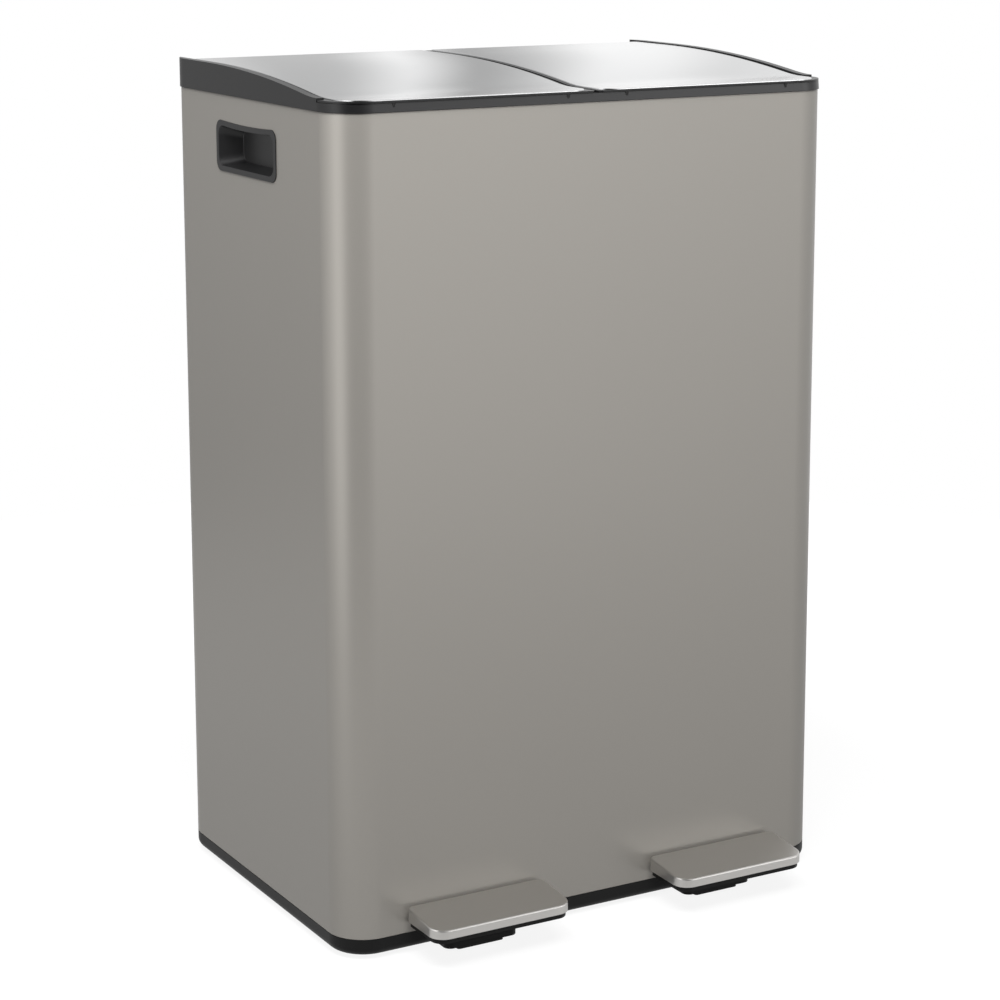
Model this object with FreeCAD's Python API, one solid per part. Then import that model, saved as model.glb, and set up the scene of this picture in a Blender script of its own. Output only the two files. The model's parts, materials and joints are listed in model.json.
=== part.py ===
import FreeCAD, Part
import math
import os

from FreeCAD import Vector

# Double pedal bin: a steel casing on a moulded base, a moulded rim with two domed lids, and two
# pedals that lift the lids through levers, push rods and cranks. Millimetres. Origin on the floor
# under the middle of the casing, X to the right seen from the front, the front faces -Y, Z up.
# Everything is drawn for the right half and mirrored to the left.

# Casing
body_width = 432.0
body_depth = 302.0
body_height = 620.0
body_corner = 30.0
sheet = 0.7
fold_height = 12.0
seam_width = 12.0

# Base
foot_height = 3.0
skirt_height = 13.5
skirt_round = 7.0
moulding_wall = 3.0
floor_thickness = 2.5
plug_wall = 2.0
plug_height = 18.0
rib_height = 5.0
rib_thickness = 2.0
rib_spacing = 48.0
tongue_width = 62.0
tongue_reach = 15.5
tongue_thickness = 4.5
tongue_corner = 6.0
foot_radius = 12.0
foot_inset = 36.0
tongue_foot_setback = 3.0
tongue_foot_length = 40.0
tongue_foot_width = 10.0
tongue_foot_corner = 2.5

# Rim
rim_proud = 1.0
rim_front_height = 6.3
cheek_thickness = 6.0
rim_front_wall = 5.0
rim_rear_wall = 16.5
rim_rear_drop = 3.0
cheek_proud = 0.6
cheek_rear_corner = 4.0
deck_depth = 4.5
deck_thickness = 3.0
centre_rib_width = 6.0
centre_rib_depth = 14.0

# Lid dome, measured up from the casing's top edge
dome_front_rise = 8.8
dome_crest_rise = 22.0
crest_offset = 75.0
dome_lip = 36.0
lid_gap = 3.0
side_gap = 0.7
front_gap = 0.5
lid_rest_gap = 0.25
skin_thickness = 0.8
skin_inset = 3.0
skin_front_inset = 1.5
skin_rear_setback = 1.0
skin_outer_corner = 23.0
skin_inner_corner = 15.0
liner_thickness = 2.5
liner_wall = 2.5
liner_wall_depth = 8.0
liner_inner_corner = 4.0
liner_rib_count = 3
liner_rib_drop = 4.0

# Lid hinge and crank
hinge_from_rear = 29.5
hinge_below_crest = 12.5
hinge_rod_radius = 2.5
knuckle_radius = 6.5
knuckle_width = 7.0
knuckle_gap = 1.0
hinge_rod_overhang = 1.0
post_radius = 6.0
post_thickness = 10.0
post_width = 8.0
post_inset = 13.0
lid_opening_deg = 80.0
crank_radius = 14.0
crank_ear_thickness = 2.5
crank_ear_gap = 6.0
crank_eye_radius = 5.5
crank_plate_thickness = 2.0
crank_plate_width = 34.0
crank_plate_length = 28.0
crank_plate_setback = 10.0
crank_plate_corner = 3.0
crank_slot_corner = 2.0
boss_height = 5.2
boss_radius = 4.0
boss_inset = 5.0

# Buckets
bucket_height = 584.0
bucket_corner = 16.0
bucket_wall = 2.0
bucket_taper_deg = 1.1
bucket_bottom_bevel = 3.0
bucket_flange = 5.0
bucket_flange_thickness = 2.5
bucket_lip_height = 1.5
bucket_lip_wall = 1.5
bucket_from_centre = 10.0
bucket_from_front = 10.5
bucket_clearance = 1.0
bucket_to_handle = 5.0
bucket_to_guard = 1.6

# Handle recesses
handle_length = 104.0
handle_height = 35.0
handle_corner = 8.0
handle_bow = 1.3
handle_below_top = 22.0
handle_centre_offset = 4.0
handle_depth = 17.0
handle_wall = 1.8
handle_lip_width = 2.2
handle_lip_proud = 0.8
handle_end_slope = 12.0
handle_side_slope = 3.0

# Pedals
pedal_width = 118.0
pedal_reach = 48.5
pedal_gap = 2.5
pedal_corner = 12.0
pedal_rear_corner = 5.0
pedal_bottom = 28.0
pedal_front_thickness = 6.8
pedal_rear_thickness = 10.5
pedal_edge_round = 1.8
cover_sheet = 1.2
underlay_thickness = 4.0
underlay_inset = 1.6
pedal_right_droop_deg = 0.8
pedal_screw_setback = 16.5
pedal_screw_spacing = 13.5

# Levers
pivot_setback = 106.0
pivot_height = 20.0
pivot_radius = 3.0
axle_head_radius = 4.5
axle_head_thickness = 1.5
axle_overhang = 3.0
lug_thickness = 5.0
lug_gap = 1.0
lug_radius = 7.0
lever_width = 34.0
lever_sheet = 2.5
lever_corner = 3.0
lever_flange_setback = 11.0
lever_rear_drop = 6.0
lever_eye_radius = 6.0
lever_pin_radius = 2.5
rivet_head_thickness = 1.0
rivet_head_rim = 1.0
notch_gap = 3.0
notch_height = 14.0

# Push rods, guards and dampers
rod_radius = 2.0
rod_head_thickness = 4.0
rod_head_wall = 3.0
guard_width = 60.0
guard_sheet = 1.2
guard_tab = 12.0
guard_from_rod = 14.0
guard_lower_edge = 48.0
guide_height = 12.0
guide_back = 8.0
lower_guide_height = 150.0
guide_below_damper = 38.0
damper_offset = 16.0
damper_radius = 6.0
damper_bore = 4.0
damper_length = 90.0
damper_wall = 2.0
plunger_radius = 1.5
piston_length = 6.0
collar_height = 8.0
collar_above_damper = 28.0
collar_below_deck = 5.0
collar_wall = 2.5
collar_corner = 3.0
clip_height = 8.0
clip_wall = 2.0
clip_arm_width = 6.0

# Fasteners and rubber parts
screw_radius = 1.75
screw_head_radius = 3.5
screw_head_height = 2.0
screw_head_chamfer = 0.8
screw_length = 4.5
screw_tip_gap = 1.0
bumper_radius = 2.0
bumper_depth = 3.0
bumper_rise = 0.2
bumper_inner_offset = 24.0
bumper_outer_offset = 40.0
rest_pad_length = 14.0
rest_pad_corner = 2.0

# Clearances
fit_gap = 0.2
running_gap = 0.08
press_gap = 0.03
seat_gap = 0.3
slot_play = 0.6

# Drawing aids: the radius of plain moulded corners, of corners drawn square, and how far a
# cutting shape reaches past the faces that it cuts
small_corner = 1.0
trim_corner = 0.5
square_corner = 0.1
overshoot = 1.0

# Levels and places worked out from the sizes above
half_width = body_width / 2
half_depth = body_depth / 2
skirt_bottom = foot_height
floor_top = skirt_bottom + floor_thickness
body_bottom = foot_height + skirt_height
body_top = body_bottom + body_height
crest = body_top + dome_crest_rise
rim_half_width = half_width + rim_proud
rim_half_depth = half_depth + rim_proud
dome_rise = dome_crest_rise - dome_front_rise
lip_line = -rim_half_depth + dome_lip
bend_line = (crest_offset + lip_line) / 2
dome_radius = ((crest_offset - lip_line) ** 2 + dome_rise**2) / (4 * dome_rise)
rim_corner = body_corner + rim_proud
rim_front_top = body_top + rim_front_height
deck_top = body_top - deck_depth
deck_bottom = deck_top - deck_thickness
hinge_y = rim_half_depth - hinge_from_rear
hinge_z = crest - hinge_below_crest
lid_inner = lid_gap / 2
lid_outer = rim_half_width - cheek_thickness - side_gap
pedal_x = body_width / 4
swing = math.radians(lid_opening_deg / 2)
rod_y = hinge_y - crank_radius * (1 + math.cos(swing)) / 2
rod_stroke = 2 * crank_radius * math.sin(swing)
crank_pin_y = hinge_y - crank_radius * math.cos(swing)
crank_pin_z = hinge_z - crank_radius * math.sin(swing)
pivot_y = -half_depth + pivot_setback
lever_rear_run = rod_y - pivot_y
lug_inner = lever_width / 2 + lug_gap
lug_outer = lug_inner + lug_thickness
cheek_front = -(rim_half_depth - rim_corner)
bucket_top = deck_top + bucket_flange_thickness
bucket_x0 = bucket_from_centre
bucket_x1 = half_width - handle_depth - bucket_to_handle
bucket_y0 = -half_depth + bucket_from_front
guard_front = rod_y - guard_from_rod
guard_back = half_depth - 2 * sheet - fit_gap - plug_wall
bucket_y1 = guard_front - bucket_to_guard - bucket_flange
collar_bottom = deck_bottom - collar_below_deck - rod_stroke - collar_height
damper_top = collar_bottom - collar_above_damper
damper_bottom = damper_top - damper_length
upper_guide_height = damper_bottom - guide_below_damper - guide_height


def rounded_outline(x0, x1, y0, y1, z, corners):
    """Closed wire of a rectangle; corners are the radii at (x0,y0), (x1,y0), (x1,y1), (x0,y1)."""
    places = ((x0, y0, 1, 1), (x1, y0, -1, 1), (x1, y1, -1, -1), (x0, y1, 1, -1))
    slant = 1 - math.sqrt(0.5)
    ends = []
    for index, (x, y, sx, sy) in enumerate(places):
        r = corners[index]
        along_y = Vector(x, y + sy * r, z)
        along_x = Vector(x + sx * r, y, z)
        middle = Vector(x + sx * r * slant, y + sy * r * slant, z)
        ends.append((along_x, middle, along_y) if index % 2 else (along_y, middle, along_x))
    edges = []
    for index, (start, middle, end) in enumerate(ends):
        following = ends[(index + 1) % 4][0]
        edges.append(Part.Arc(start, middle, end).toShape())
        edges.append(Part.LineSegment(end, following).toShape())
    return Part.Wire(edges)


def prism(x0, x1, y0, y1, z0, z1, corner):
    """Upright rounded block; corner is one radius or four."""
    corners = corner if isinstance(corner, tuple) else (corner,) * 4
    face = Part.Face(rounded_outline(x0, x1, y0, y1, z0, corners))
    return face.extrude(Vector(0, 0, z1 - z0))


def casing_prism(inset, z0, z1):
    """The casing's plan, drawn in by inset all round, between two heights."""
    return prism(
        -half_width + inset, half_width - inset, -half_depth + inset, half_depth - inset,
        z0, z1, body_corner - inset,
    )


def box(x0, x1, y0, y1, z0, z1):
    return Part.makeBox(x1 - x0, y1 - y0, z1 - z0, Vector(x0, y0, z0))


def upright(x, y, z0, z1, radius):
    return Part.makeCylinder(radius, z1 - z0, Vector(x, y, z0))


def crosswise(x0, x1, y, z, radius):
    """Cylinder along X."""
    return Part.makeCylinder(radius, x1 - x0, Vector(x0, y, z), Vector(1, 0, 0))


def side_polygon(x0, x1, points):
    """Polygon of (y, z) points, drawn at x0 and extruded to x1."""
    corners = [Vector(x0, y, z) for y, z in points]
    return Part.Face(Part.makePolygon(corners + corners[:1])).extrude(Vector(x1 - x0, 0, 0))


def fuse_all(shapes):
    result = shapes[0]
    for shape in shapes[1:]:
        result = result.fuse(shape)
    return result.removeSplitter()


def mirrored(shape):
    return shape.mirror(Vector(0, 0, 0), Vector(1, 0, 0))


def both_sides(shape):
    return [shape, mirrored(shape)]


def write(name, solids):
    """One STEP file for one node, as one solid or a group of separate solids."""
    shapes = solids if isinstance(solids, list) else [solids]
    shape = shapes[0] if len(shapes) == 1 else Part.makeCompound(shapes)
    shape.exportStep("parts/" + name + ".step")
    print(name, len(shape.Solids), "solids", round(shape.Volume / 1000, 2), "cm3", shape.isValid())


def write_pair(name, right_shape):
    write(name + "_right", right_shape)
    group = right_shape if isinstance(right_shape, list) else [right_shape]
    write(name + "_left", [mirrored(shape) for shape in group])


# ---------------------------------------------------------------- casing

def handle_outline(x, lengthwise_inset, height_inset):
    """Handle recess outline in the side wall's plane: a rounded slot whose top edge is bowed."""
    top = body_top - handle_below_top - height_inset
    bottom = body_top - handle_below_top - handle_height + height_inset
    y0 = handle_centre_offset - handle_length / 2 + lengthwise_inset
    y1 = handle_centre_offset + handle_length / 2 - lengthwise_inset
    r = handle_corner
    slant = r * (1 - math.sqrt(0.5))
    middle = (y0 + y1) / 2
    corner_arcs = (
        ((y0, bottom + r), (y0 + slant, bottom + slant), (y0 + r, bottom)),
        ((y1 - r, bottom), (y1 - slant, bottom + slant), (y1, bottom + r)),
        ((y1, top - r), (y1 - slant, top - slant), (y1 - r, top)),
        ((y0 + r, top), (y0 + slant, top - slant), (y0, top - r)),
    )
    points = [[Vector(x, y, z) for y, z in arc] for arc in corner_arcs]
    bow = Vector(x, middle, top - handle_bow)
    edges = [
        Part.Arc(*points[0]).toShape(),
        Part.LineSegment(points[0][2], points[1][0]).toShape(),
        Part.Arc(*points[1]).toShape(),
        Part.LineSegment(points[1][2], points[2][0]).toShape(),
        Part.Arc(*points[2]).toShape(),
        Part.Arc(points[2][2], bow, points[3][0]).toShape(),
        Part.Arc(*points[3]).toShape(),
        Part.LineSegment(points[3][2], points[0][0]).toShape(),
    ]
    return Part.Wire(edges)


def handle_solid(x0, x1, inset0, inset1):
    """Loft between two handle outlines; each inset is (lengthwise, height)."""
    return Part.makeLoft([handle_outline(x0, *inset0), handle_outline(x1, *inset1)], True, True)


def lever_notch(z0, z1):
    """Space through the front wall in which the right pedal's lever moves."""
    reach = lever_width / 2 + notch_gap
    return box(
        pedal_x - reach, pedal_x + reach, -half_depth - moulding_wall, -half_depth + 3 * moulding_wall, z0, z1
    )


def body_shell():
    shell = casing_prism(0, body_bottom, body_top).cut(casing_prism(sheet, body_bottom, body_top))
    for z0, z1 in ((body_bottom, body_bottom + fold_height), (body_top - fold_height, body_top)):
        fold = casing_prism(sheet, z0, z1).cut(casing_prism(2 * sheet, z0, z1))
        shell = shell.fuse(fold)
    seam = box(
        -seam_width / 2, seam_width / 2, half_depth - 2 * sheet, half_depth - sheet,
        body_bottom + fold_height, body_top - fold_height,
    )
    shell = shell.fuse(seam)
    opening = handle_solid(half_width - 3 * sheet, half_width + sheet, (0, 0), (0, 0))
    notch = lever_notch(body_bottom, body_bottom + notch_height)
    for cutter in both_sides(opening) + both_sides(notch):
        shell = shell.cut(cutter)
    return shell.removeSplitter()


def handle_cup():
    outer_face = half_width + handle_lip_proud
    inner_face = half_width - handle_depth
    gap = (fit_gap, fit_gap)
    far = (handle_end_slope, handle_side_slope)
    wall = (handle_wall + fit_gap, handle_wall + fit_gap)
    far_wall = (handle_end_slope + handle_wall, handle_side_slope + handle_wall)
    cup = handle_solid(half_width - sheet, inner_face, gap, far)
    cup = cup.fuse(handle_solid(half_width - sheet, outer_face, gap, gap))
    lip = (-handle_lip_width, -handle_lip_width)
    cup = cup.fuse(handle_solid(half_width, outer_face, lip, lip))
    cup = cup.cut(handle_solid(outer_face, inner_face + handle_wall, wall, far_wall))
    return cup.removeSplitter()


# ---------------------------------------------------------------- base

def base_lug(offset):
    """Upright lug for the pedal axle, centred at pedal_x + offset."""
    x0 = pedal_x + offset - lug_thickness / 2
    x1 = x0 + lug_thickness
    web = side_polygon(x0, x1, (
        (pivot_y - 2 * lug_radius, floor_top),
        (pivot_y + 2 * lug_radius, floor_top),
        (pivot_y + lug_radius, pivot_height),
        (pivot_y - lug_radius, pivot_height),
    ))
    lug = web.fuse(crosswise(x0, x1, pivot_y, pivot_height, lug_radius))
    return lug.cut(crosswise(x0, x1, pivot_y, pivot_height, pivot_radius + press_gap))


def base_tongue():
    """Short foot of the base in front of the skirt, under the right pedal."""
    front = -half_depth - tongue_reach
    return prism(
        pedal_x - tongue_width / 2, pedal_x + tongue_width / 2, front, -half_depth + 2 * moulding_wall,
        skirt_bottom, skirt_bottom + tongue_thickness, (tongue_corner, tongue_corner, small_corner, small_corner),
    )


def base_tray():
    outer = casing_prism(0, skirt_bottom, body_bottom)
    bottom_edges = [edge for edge in outer.Edges if edge.BoundBox.ZMax < skirt_bottom + press_gap]
    outer = outer.makeFillet(skirt_round, bottom_edges)
    tray = outer.cut(casing_prism(moulding_wall, floor_top, body_bottom))
    plug_outer = 2 * sheet + fit_gap
    plug = casing_prism(plug_outer, body_bottom - 2 * moulding_wall, body_bottom + plug_height)
    plug = plug.cut(casing_prism(plug_outer + plug_wall, floor_top, body_bottom + plug_height))
    tray = tray.fuse(plug)
    rib_reach = half_depth - 2 * moulding_wall
    lever_zone = lug_outer + rib_thickness
    count = int((half_width - moulding_wall) // rib_spacing)
    for index in range(-count, count + 1):
        x = index * rib_spacing
        if abs(abs(x) - pedal_x) > lever_zone:
            tray = tray.fuse(box(
                x - rib_thickness / 2, x + rib_thickness / 2, -rib_reach, rib_reach,
                floor_top, floor_top + rib_height,
            ))
    lug_offset = lug_inner + lug_thickness / 2
    additions = [base_tongue(), base_lug(lug_offset), base_lug(-lug_offset)]
    for addition in additions:
        for shape in both_sides(addition):
            tray = tray.fuse(shape)
    notch = lever_notch(skirt_bottom + tongue_thickness, body_bottom + plug_height + overshoot)
    for shape in both_sides(notch):
        tray = tray.cut(shape)
    return tray.removeSplitter()


def base_feet():
    """Rubber feet: at the four corners, under the middle between the buckets, and under the tongues."""
    feet = []
    x = half_width - foot_inset
    y = half_depth - foot_inset
    for place in ((0, 0), (x, y), (x, -y), (-x, y), (-x, -y)):
        feet.append(upright(*place, 0, foot_height, foot_radius))
    front = -half_depth - tongue_reach + tongue_foot_setback
    pad = prism(
        pedal_x - tongue_foot_length / 2, pedal_x + tongue_foot_length / 2,
        front, front + tongue_foot_width, 0, foot_height, tongue_foot_corner,
    )
    return feet + both_sides(pad)


def pedal_angle(side):
    return pedal_right_droop_deg if side == "right" else 0.0


def lever_pin_place(side):
    """Rest place (y, z) of the pin at the lever's rear end."""
    angle = math.radians(pedal_angle(side))
    z = -lever_rear_drop
    y_turned = lever_rear_run * math.cos(angle) - z * math.sin(angle)
    z_turned = lever_rear_run * math.sin(angle) + z * math.cos(angle)
    return pivot_y + y_turned, pivot_height + z_turned


def lever_rest_pad(side):
    y, z = lever_pin_place(side)
    top = z - lever_eye_radius - seat_gap
    return prism(
        pedal_x - lever_width / 2, pedal_x + lever_width / 2, y - rest_pad_length / 2, y + rest_pad_length / 2,
        floor_top, top, rest_pad_corner,
    )


# ---------------------------------------------------------------- rim

def dome_height(y, depth=0.0):
    """Height of the lid's top surface at y, or of a surface that lies depth below it.

    It is flat behind the crest line, bends down over one arc, eases out over an equal one, and ends in a flat
    lip at the front.
    """
    if y >= crest_offset:
        return crest - depth
    if y >= bend_line:
        return crest - depth - dome_radius + math.sqrt(dome_radius**2 - (crest_offset - y) ** 2)
    lip = crest - dome_rise - depth
    if y > lip_line:
        return lip + dome_radius - math.sqrt(dome_radius**2 - (y - lip_line) ** 2)
    return lip


def dome_edges(x, y_start, depth):
    """Edges of the dome's profile from y_start back to the crest line."""
    stops = [y_start] + [y for y in (lip_line, bend_line, crest_offset) if y > y_start]
    edges = []
    for start, end in zip(stops, stops[1:]):
        points = [Vector(x, y, dome_height(y, depth)) for y in (start, (start + end) / 2, end)]
        curve = Part.Arc(*points) if end > lip_line else Part.LineSegment(points[0], points[-1])
        edges.append(curve.toShape())
    return edges


def segment(x, start, end):
    return Part.LineSegment(Vector(x, *start), Vector(x, *end)).toShape()


def rim_envelope():
    """Everything under the rim's top line: low at the front, then the cheeks that follow the dome."""
    x0 = -rim_half_width - overshoot
    low = body_top - plug_height
    front = -rim_half_depth - overshoot
    rear = rim_half_depth
    r = cheek_rear_corner
    top = crest + cheek_proud
    slant = r * (1 - math.sqrt(0.5))
    rear_arc = Part.Arc(Vector(x0, rear - r, top), Vector(x0, rear - slant, top - slant), Vector(x0, rear, top - r))
    edges = [
        segment(x0, (front, low), (front, rim_front_top)),
        segment(x0, (front, rim_front_top), (cheek_front, rim_front_top)),
        segment(x0, (cheek_front, rim_front_top), (cheek_front, dome_height(cheek_front, -cheek_proud))),
        *dome_edges(x0, cheek_front, -cheek_proud),
        segment(x0, (crest_offset, top), (rear - r, top)),
        rear_arc.toShape(),
        segment(x0, (rear, top - r), (rear, low)),
        segment(x0, (rear, low), (front, low)),
    ]
    return Part.Face(Part.Wire(edges)).extrude(Vector(-2 * x0, 0, 0))


def hinge_post(x):
    """Post on the deck that holds the hinge rod, starting at x."""
    block = box(
        x, x + post_width, hinge_y - post_thickness / 2, hinge_y + post_thickness / 2, deck_top, hinge_z
    )
    post = block.fuse(crosswise(x, x + post_width, hinge_y, hinge_z, post_radius))
    return post.cut(crosswise(x, x + post_width, hinge_y, hinge_z, hinge_rod_radius + press_gap))


def post_starts():
    """Where the right lid's two hinge posts start along X."""
    return lid_inner + post_inset, lid_outer - post_inset - post_width


def bumper_places():
    y = -rim_half_depth + rim_front_wall / 2
    return [(lid_inner + bumper_inner_offset, y), (lid_outer - bumper_outer_offset, y)]


def top_rim():
    outer = prism(
        -rim_half_width, rim_half_width, -rim_half_depth, rim_half_depth,
        body_top, crest + cheek_rear_corner, rim_corner,
    )
    inner_corner = rim_corner - cheek_thickness
    inner = prism(
        -rim_half_width + cheek_thickness, rim_half_width - cheek_thickness,
        -rim_half_depth + rim_front_wall, rim_half_depth - rim_rear_wall,
        body_top, crest + cheek_rear_corner, (inner_corner, inner_corner, small_corner, small_corner),
    )
    wall = outer.cut(inner).common(rim_envelope())
    rear_cut = box(
        -lid_outer - side_gap, lid_outer + side_gap, 0, rim_half_depth + overshoot,
        crest - rim_rear_drop, crest + cheek_rear_corner,
    )
    wall = wall.cut(rear_cut)

    plug_outer = 2 * sheet + fit_gap
    plug = casing_prism(plug_outer, body_top - plug_height, body_top + overshoot)
    plug = plug.cut(casing_prism(plug_outer + plug_wall, body_top - plug_height, body_top + overshoot))
    deck = casing_prism(plug_outer, deck_bottom, deck_top)
    rim = fuse_all([wall, plug, deck])

    reach = half_depth - plug_outer
    centre_rib = box(
        -centre_rib_width / 2, centre_rib_width / 2, -reach + plug_wall / 2, reach - plug_wall / 2,
        deck_bottom - centre_rib_depth, deck_bottom,
    )
    rim = rim.fuse(centre_rib)
    opening = prism(
        bucket_x0 - bucket_clearance, bucket_x1 + bucket_clearance,
        bucket_y0 - bucket_clearance, bucket_y1 + bucket_clearance,
        deck_bottom - overshoot, deck_top + overshoot, bucket_corner + bucket_clearance,
    )
    crank_slot = prism(
        pedal_x - crank_plate_width / 2, pedal_x + crank_plate_width / 2,
        rod_y - 2 * crank_eye_radius, hinge_y + post_radius,
        deck_bottom - overshoot, deck_top + overshoot, crank_slot_corner,
    )
    rear_hollow = box(
        -rim_half_width + rim_corner, rim_half_width - rim_corner,
        rim_half_depth - rim_rear_wall + moulding_wall, rim_half_depth - moulding_wall,
        deck_bottom - overshoot, crest - rim_rear_drop - moulding_wall,
    )
    for cutter in both_sides(opening) + both_sides(crank_slot) + [rear_hollow]:
        rim = rim.cut(cutter)
    for x in post_starts():
        for post in both_sides(hinge_post(x)):
            rim = rim.fuse(post)
    for x, y in bumper_places():
        hole = upright(x, y, rim_front_top - bumper_depth, rim_front_top + overshoot, bumper_radius)
        for cutter in both_sides(hole):
            rim = rim.cut(cutter)
    return rim.removeSplitter()


def lid_bumpers():
    bumpers = []
    radius = bumper_radius - press_gap
    for x, y in bumper_places():
        bumper = upright(x, y, rim_front_top - bumper_depth, rim_front_top + bumper_rise, radius)
        bumpers += both_sides(bumper)
    return bumpers


# ---------------------------------------------------------------- lids

def dome_slab(x0, x1, y_front, y_rear, top_depth, bottom_depth):
    """Domed plate between two depths below the lid's top surface, flat behind the crest line."""
    edges = [
        *dome_edges(x0, y_front, top_depth),
        segment(x0, (crest_offset, crest - top_depth), (y_rear, crest - top_depth)),
        segment(x0, (y_rear, crest - top_depth), (y_rear, crest - bottom_depth)),
        segment(x0, (y_rear, crest - bottom_depth), (crest_offset, crest - bottom_depth)),
        *reversed(dome_edges(x0, y_front, bottom_depth)),
        segment(x0, (y_front, dome_height(y_front, bottom_depth)), (y_front, dome_height(y_front, top_depth))),
    ]
    return Part.Face(Part.Wire(edges)).extrude(Vector(x1 - x0, 0, 0))


def lid_barrel(x0, x1):
    """Quarter-round rear edge of the lid liner, concentric with the hinge."""
    outer = hinge_below_crest - skin_thickness
    inner = outer - liner_thickness
    tube = crosswise(x0, x1, hinge_y, hinge_z, outer).cut(crosswise(x0, x1, hinge_y, hinge_z, inner))
    quarter = box(x0, x1, hinge_y, hinge_y + hinge_below_crest, hinge_z, crest)
    return tube.common(quarter)


def lid_skin():
    x0 = lid_inner + skin_inset
    x1 = lid_outer - skin_inset
    y_front = -rim_half_depth + front_gap + skin_front_inset
    y_rear = hinge_y - skin_rear_setback
    slab = dome_slab(
        x0 - overshoot, x1 + overshoot, y_front - overshoot, y_rear + overshoot, 0.0, skin_thickness
    )
    rear_corner = skin_inset
    plan = prism(x0, x1, y_front, y_rear, body_top, crest + overshoot, (
        skin_inner_corner, skin_outer_corner, rear_corner, rear_corner,
    ))
    return slab.common(plan)


def lid_plan(z0, z1):
    """Plan of the liner: full width between the cheeks, stepping out over the rim's front corner."""
    main = prism(
        lid_inner, lid_outer, -rim_half_depth + front_gap, hinge_y, z0, z1,
        (liner_inner_corner, trim_corner, trim_corner, trim_corner),
    )
    wing = prism(
        lid_outer - rim_corner, rim_half_width - front_gap, -rim_half_depth + front_gap, 0,
        z0, z1, (trim_corner, rim_corner - front_gap, trim_corner, trim_corner),
    )
    corner_block = box(
        lid_outer - rim_corner, rim_half_width, -rim_half_depth, cheek_front - side_gap, z0, z1,
    )
    return main.cut(corner_block).fuse(wing.common(corner_block)).removeSplitter()


def crank_bosses():
    """Places of the four bosses that the crank bracket is screwed to."""
    plate_rear = hinge_y - crank_plate_setback
    places = []
    for sx in (-1, 1):
        x = pedal_x + sx * (crank_plate_width / 2 - boss_inset)
        for y in (plate_rear - crank_plate_length + boss_inset, plate_rear - boss_inset):
            places.append((x, y))
    return places


def lid_liner():
    under = skin_thickness + liner_thickness
    plate = dome_slab(
        lid_inner - overshoot, rim_half_width + overshoot, -rim_half_depth - overshoot, hinge_y, skin_thickness, under
    )
    liner = plate.common(lid_plan(body_top, crest))

    wall_bottom = hinge_z - liner_wall_depth
    wall_front = -rim_half_depth + rim_front_wall + front_gap
    inner_radius = rim_corner - cheek_thickness - side_gap
    ring = prism(
        lid_inner, lid_outer, wall_front, hinge_y, wall_bottom, crest,
        (liner_inner_corner, inner_radius, trim_corner, trim_corner),
    )
    hollow = prism(
        lid_inner + liner_wall, lid_outer - liner_wall, wall_front + liner_wall, hinge_y + overshoot,
        wall_bottom, crest, (small_corner, inner_radius - liner_wall, square_corner, square_corner),
    )
    under_dome = dome_slab(
        lid_inner, lid_outer, -rim_half_depth - overshoot, hinge_y, skin_thickness, crest - wall_bottom + dome_rise
    )
    liner = liner.fuse(ring.cut(hollow).common(under_dome))

    over_rim = box(
        lid_inner - overshoot, rim_half_width + overshoot, -rim_half_depth - overshoot, cheek_front,
        body_top, rim_front_top + lid_rest_gap,
    )
    liner = liner.cut(over_rim.cut(ring))

    span = (lid_outer - lid_inner) / (liner_rib_count + 1)
    rib_rear = hinge_y - crank_plate_setback - crank_plate_length - 2 * screw_head_radius
    for index in range(1, liner_rib_count + 1):
        x = lid_inner + index * span
        rib = box(
            x - rib_thickness / 2, x + rib_thickness / 2, wall_front + liner_wall / 2, rib_rear,
            hinge_z - liner_rib_drop, crest,
        )
        liner = liner.fuse(rib.common(under_dome))
    cross_rib = box(
        lid_inner + liner_wall / 2, lid_outer - liner_wall / 2, rib_rear - rib_thickness, rib_rear, hinge_z, crest
    )
    liner = liner.fuse(cross_rib.common(under_dome))

    boss_bottom = crest - under - boss_height
    for x, y in crank_bosses():
        liner = liner.fuse(upright(x, y, boss_bottom, crest - under + overshoot, boss_radius))
        hole = upright(x, y, boss_bottom - overshoot, boss_bottom + screw_length, screw_radius + press_gap)
        liner = liner.cut(hole)

    liner = liner.fuse(lid_barrel(lid_inner, lid_outer))
    inner_post, outer_post = post_starts()
    knuckle_top = crest - under + overshoot
    for x in (inner_post + post_width + knuckle_gap, outer_post - knuckle_width - knuckle_gap):
        block = box(x, x + knuckle_width, hinge_y - knuckle_radius, hinge_y + knuckle_radius, hinge_z, knuckle_top)
        liner = liner.fuse(block).fuse(crosswise(x, x + knuckle_width, hinge_y, hinge_z, knuckle_radius))
    for x in (inner_post, outer_post):
        post_space = box(
            x - knuckle_gap, x + post_width + knuckle_gap, hinge_y - 2 * post_radius, hinge_y + 3 * post_radius,
            deck_top, hinge_z + post_radius + seat_gap,
        )
        liner = liner.cut(post_space)
    bore = crosswise(lid_inner + liner_wall, lid_outer - liner_wall, hinge_y, hinge_z, hinge_rod_radius + running_gap)
    return liner.cut(bore).removeSplitter()


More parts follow.
